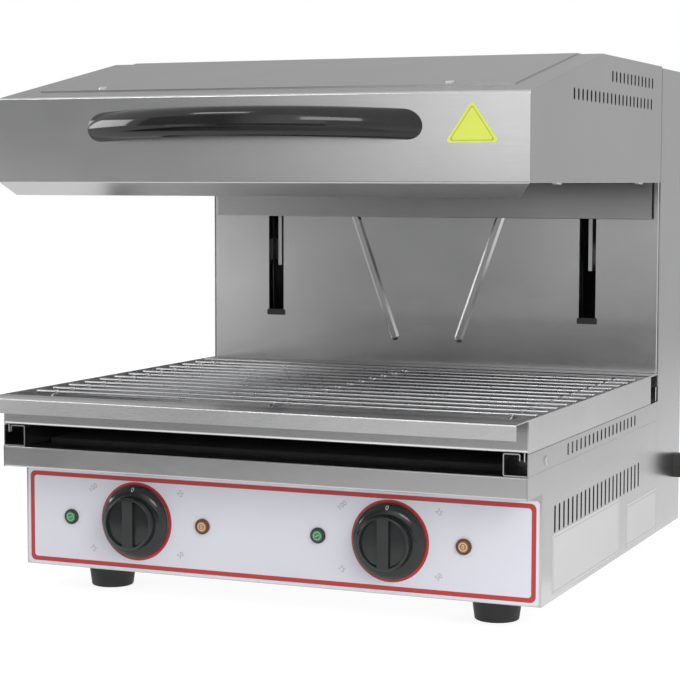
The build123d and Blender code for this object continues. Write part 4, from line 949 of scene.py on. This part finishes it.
CAMERA_AT = (737.7, -1583.1, 356.6)
CAMERA_TURN = (22.97, 4.57, 0.11)    # degrees round the upright axis, down, and rolled
PICTURE = 680                        # width of the picture, in pixels
FOCAL_LENGTH = 1995.36               # in the same pixels
SENSOR = 36.0
CAMERA_SEES = (0.05, 60)             # nearest and farthest, in metres

WORLD_LIGHT = 0.55
FLOOR_REACH = 30.0
FLOOR_TONE = 0.80                    # its colour as the light meets it
FLOOR_SHADE = 0.30                   # to the eye: the part that takes the shadow,
FLOOR_LIFT = 0.86                    # and the white that is added to it
CARD_HEIGHT = 0.005                  # a flat card lies this far above the floor


def make_camera():
    """The photograph's view: turned about the upright axis, then tipped down, then rolled."""
    yaw, pitch, roll = (radians(angle) for angle in CAMERA_TURN)
    data = bpy.data.cameras.new("camera")
    data.sensor_width = SENSOR
    data.lens = FOCAL_LENGTH * SENSOR / PICTURE
    data.clip_start, data.clip_end = CAMERA_SEES
    camera = added("camera", data)
    turn = (
        Matrix.Rotation(yaw, 4, "Z")
        @ Matrix.Rotation(pi / 2 - pitch, 4, "X")
        @ Matrix.Rotation(roll, 4, "Z")
    )
    camera.matrix_world = Matrix.Translation(DATUM + np.array(CAMERA_AT) * MM) @ turn
    bpy.context.scene.camera = camera


def softbox(name, at, towards, size, power):
    """A large soft light that looks at a point; the steel reflects the cards and not this."""
    data = bpy.data.lights.new(name, "AREA")
    data.shape = "SQUARE"
    data.size = size
    data.energy = power
    lamp = added(name, data)
    lamp.visible_glossy = False
    lamp.location = at
    lamp.rotation_euler = (Vector(towards) - Vector(at)).to_track_quat("-Z", "Y").to_euler()


def emptied(owner):
    """The node tree of a material or world, with nothing in it."""
    owner.use_nodes = True
    owner.node_tree.nodes.clear()
    return owner.node_tree


def mixed(tree, share, first, second):
    """A mix of two shaders."""
    return add_node(tree, "ShaderNodeMixShader", {0: share, 1: first, 2: second}).outputs[0]


def seen_directly(tree):
    """One for camera, glossy and transmission rays, and nought for the rays that carry light."""
    rays = add_node(tree, "ShaderNodeLightPath").outputs
    share = rays["Is Camera Ray"]
    for kind in ("Is Glossy Ray", "Is Transmission Ray"):
        either = add_node(tree, "ShaderNodeMath", {0: share, 1: rays[kind]}, operation="MAXIMUM")
        share = either.outputs[0]
    return share


def make_world():
    """White to the eye and in reflections, softer as a light on the object."""
    world = bpy.data.worlds.new("studio")
    bpy.context.scene.world = world
    tree = emptied(world)
    lights = [
        add_node(tree, "ShaderNodeBackground", {"Color": (1, 1, 1, 1), "Strength": strength})
        for strength in (WORLD_LIGHT, 1.0)
    ]
    whole = mixed(tree, seen_directly(tree), *(light.outputs[0] for light in lights))
    add_node(tree, "ShaderNodeOutputWorld", {"Surface": whole})


def floor_material():
    """White floor: to the eye nearly all its own white, so that only a faint shadow shows."""
    material = bpy.data.materials.new("floor")
    tree = emptied(material)
    plain, pale = (
        add_node(tree, "ShaderNodeBsdfDiffuse", {"Color": (tone, tone, tone, 1)}).outputs[0]
        for tone in (FLOOR_TONE, FLOOR_SHADE)
    )
    lift = add_node(tree, "ShaderNodeEmission", {"Strength": FLOOR_LIFT}).outputs[0]
    white = add_node(tree, "ShaderNodeAddShader", {0: pale, 1: lift}).outputs[0]
    whole = mixed(tree, seen_directly(tree), plain, white)
    add_node(tree, "ShaderNodeOutputMaterial", {"Surface": whole})
    return material


def stage_sheet(name, corners, material):
    """A flat four-cornered sheet of the studio; its corners run round from the lower left."""
    mesh = bpy.data.meshes.new(name)
    mesh.from_pydata(corners, [], [(0, 1, 2, 3)])
    mesh.uv_layers.new(name="sheet").uv.foreach_set("vector", (0, 0, 1, 0, 1, 1, 0, 1))
    mesh.materials.append(material)
    sheet = added(name, mesh)
    return sheet


def card(name, corners, near, far=None, start=0.0, stop=1.0):
    """A card that only gloss sees: one tone, or shaded smoothly from near to far.

    The shading runs from the sheet's left to its right side, between the shares start and stop.
    """
    material = bpy.data.materials.new(name)
    tree = emptied(material)
    across = add_node(tree, "ShaderNodeUVMap").outputs[0]
    ramp = add_node(
        tree,
        "ShaderNodeMapRange",
        {
            "Value": add_node(tree, "ShaderNodeSeparateXYZ", {0: across}).outputs[0],
            "From Min": start,
            "From Max": stop,
            "To Min": near,
            "To Max": near if far is None else far,
        },
        interpolation_type="SMOOTHSTEP",
    )
    glow = add_node(tree, "ShaderNodeEmission", {"Strength": ramp.outputs[0]})
    add_node(tree, "ShaderNodeOutputMaterial", {"Surface": glow.outputs[0]})
    sheet = stage_sheet(name, corners, material)
    sheet.visible_camera = False
    sheet.visible_diffuse = False
    sheet.visible_shadow = False


def upright(left, right, low, high):
    """Corners of an upright sheet between two places on the floor."""
    return [(*left, low), (*right, low), (*right, high), (*left, high)]


def level(left, right, front, back, height=CARD_HEIGHT):
    """Corners of a sheet that lies flat."""
    flat = ((left, front), (right, front), (right, back), (left, back))
    return [(*place, height) for place in flat]


# What the steel mirrors, in the frame's metres: corners, near and far strength, start and stop.
CARDS = {
    "card_front": (upright((-2.4, -1.5), (0.3, -2.1), 0.34, 1.6), 0.36, 1.60, 0.54, 0.82),
    "card_low": (upright((-1.9, -1.8), (0.3, -2.2), 0.01, 0.32), 1.5, 0.28, 0.16, 0.43),
    "card_floor": (level(-1.5, 0.5, -1.7, -0.7), 0.0, 0.9, 0.15, 1.0),
    "card_back": (upright((-3.5, 2.6), (3.5, 2.6), 0.0, 3.0), 0.40, 0.66),
    "card_behind": (level(0.27, 2.8, 0.0, 2.6), 0.92, 0.52, 0.0, 0.3),
    "glint_left": (upright((-2.2, -1.1), (-2.2, -0.3), 0.5, 1.2), 7.0),
    "glint_front": (upright((0.0, -2.0), (0.7, -2.0), 0.85, 1.3), 7.0),
    "glint_high": (upright((-1.35, -1.35), (-0.65, -1.5), 1.64, 1.94), 8.0),
}
# Where each soft light stands, what it looks at, its size and its power.
SOFTBOXES = {
    "light_top": ((0.4, -0.6, 2.6), (0, 0, 0.3), 2.2, 34),
    "light_right": ((2.2, -1.7, 1.4), (0, 0, 0.15), 1.4, 36),
}


def make_studio():
    """White floor, soft lights, and grey and bright cards that shade the steel."""
    edges = (-FLOOR_REACH, FLOOR_REACH)
    stage_sheet("floor", level(*edges, *edges, height=0), floor_material())
    for name, settings in CARDS.items():
        card(name, *settings)
    for name, settings in SOFTBOXES.items():
        softbox(name, *settings)


bpy.context.scene.view_settings.view_transform = "Standard"
make_camera()
make_world()
make_studio()
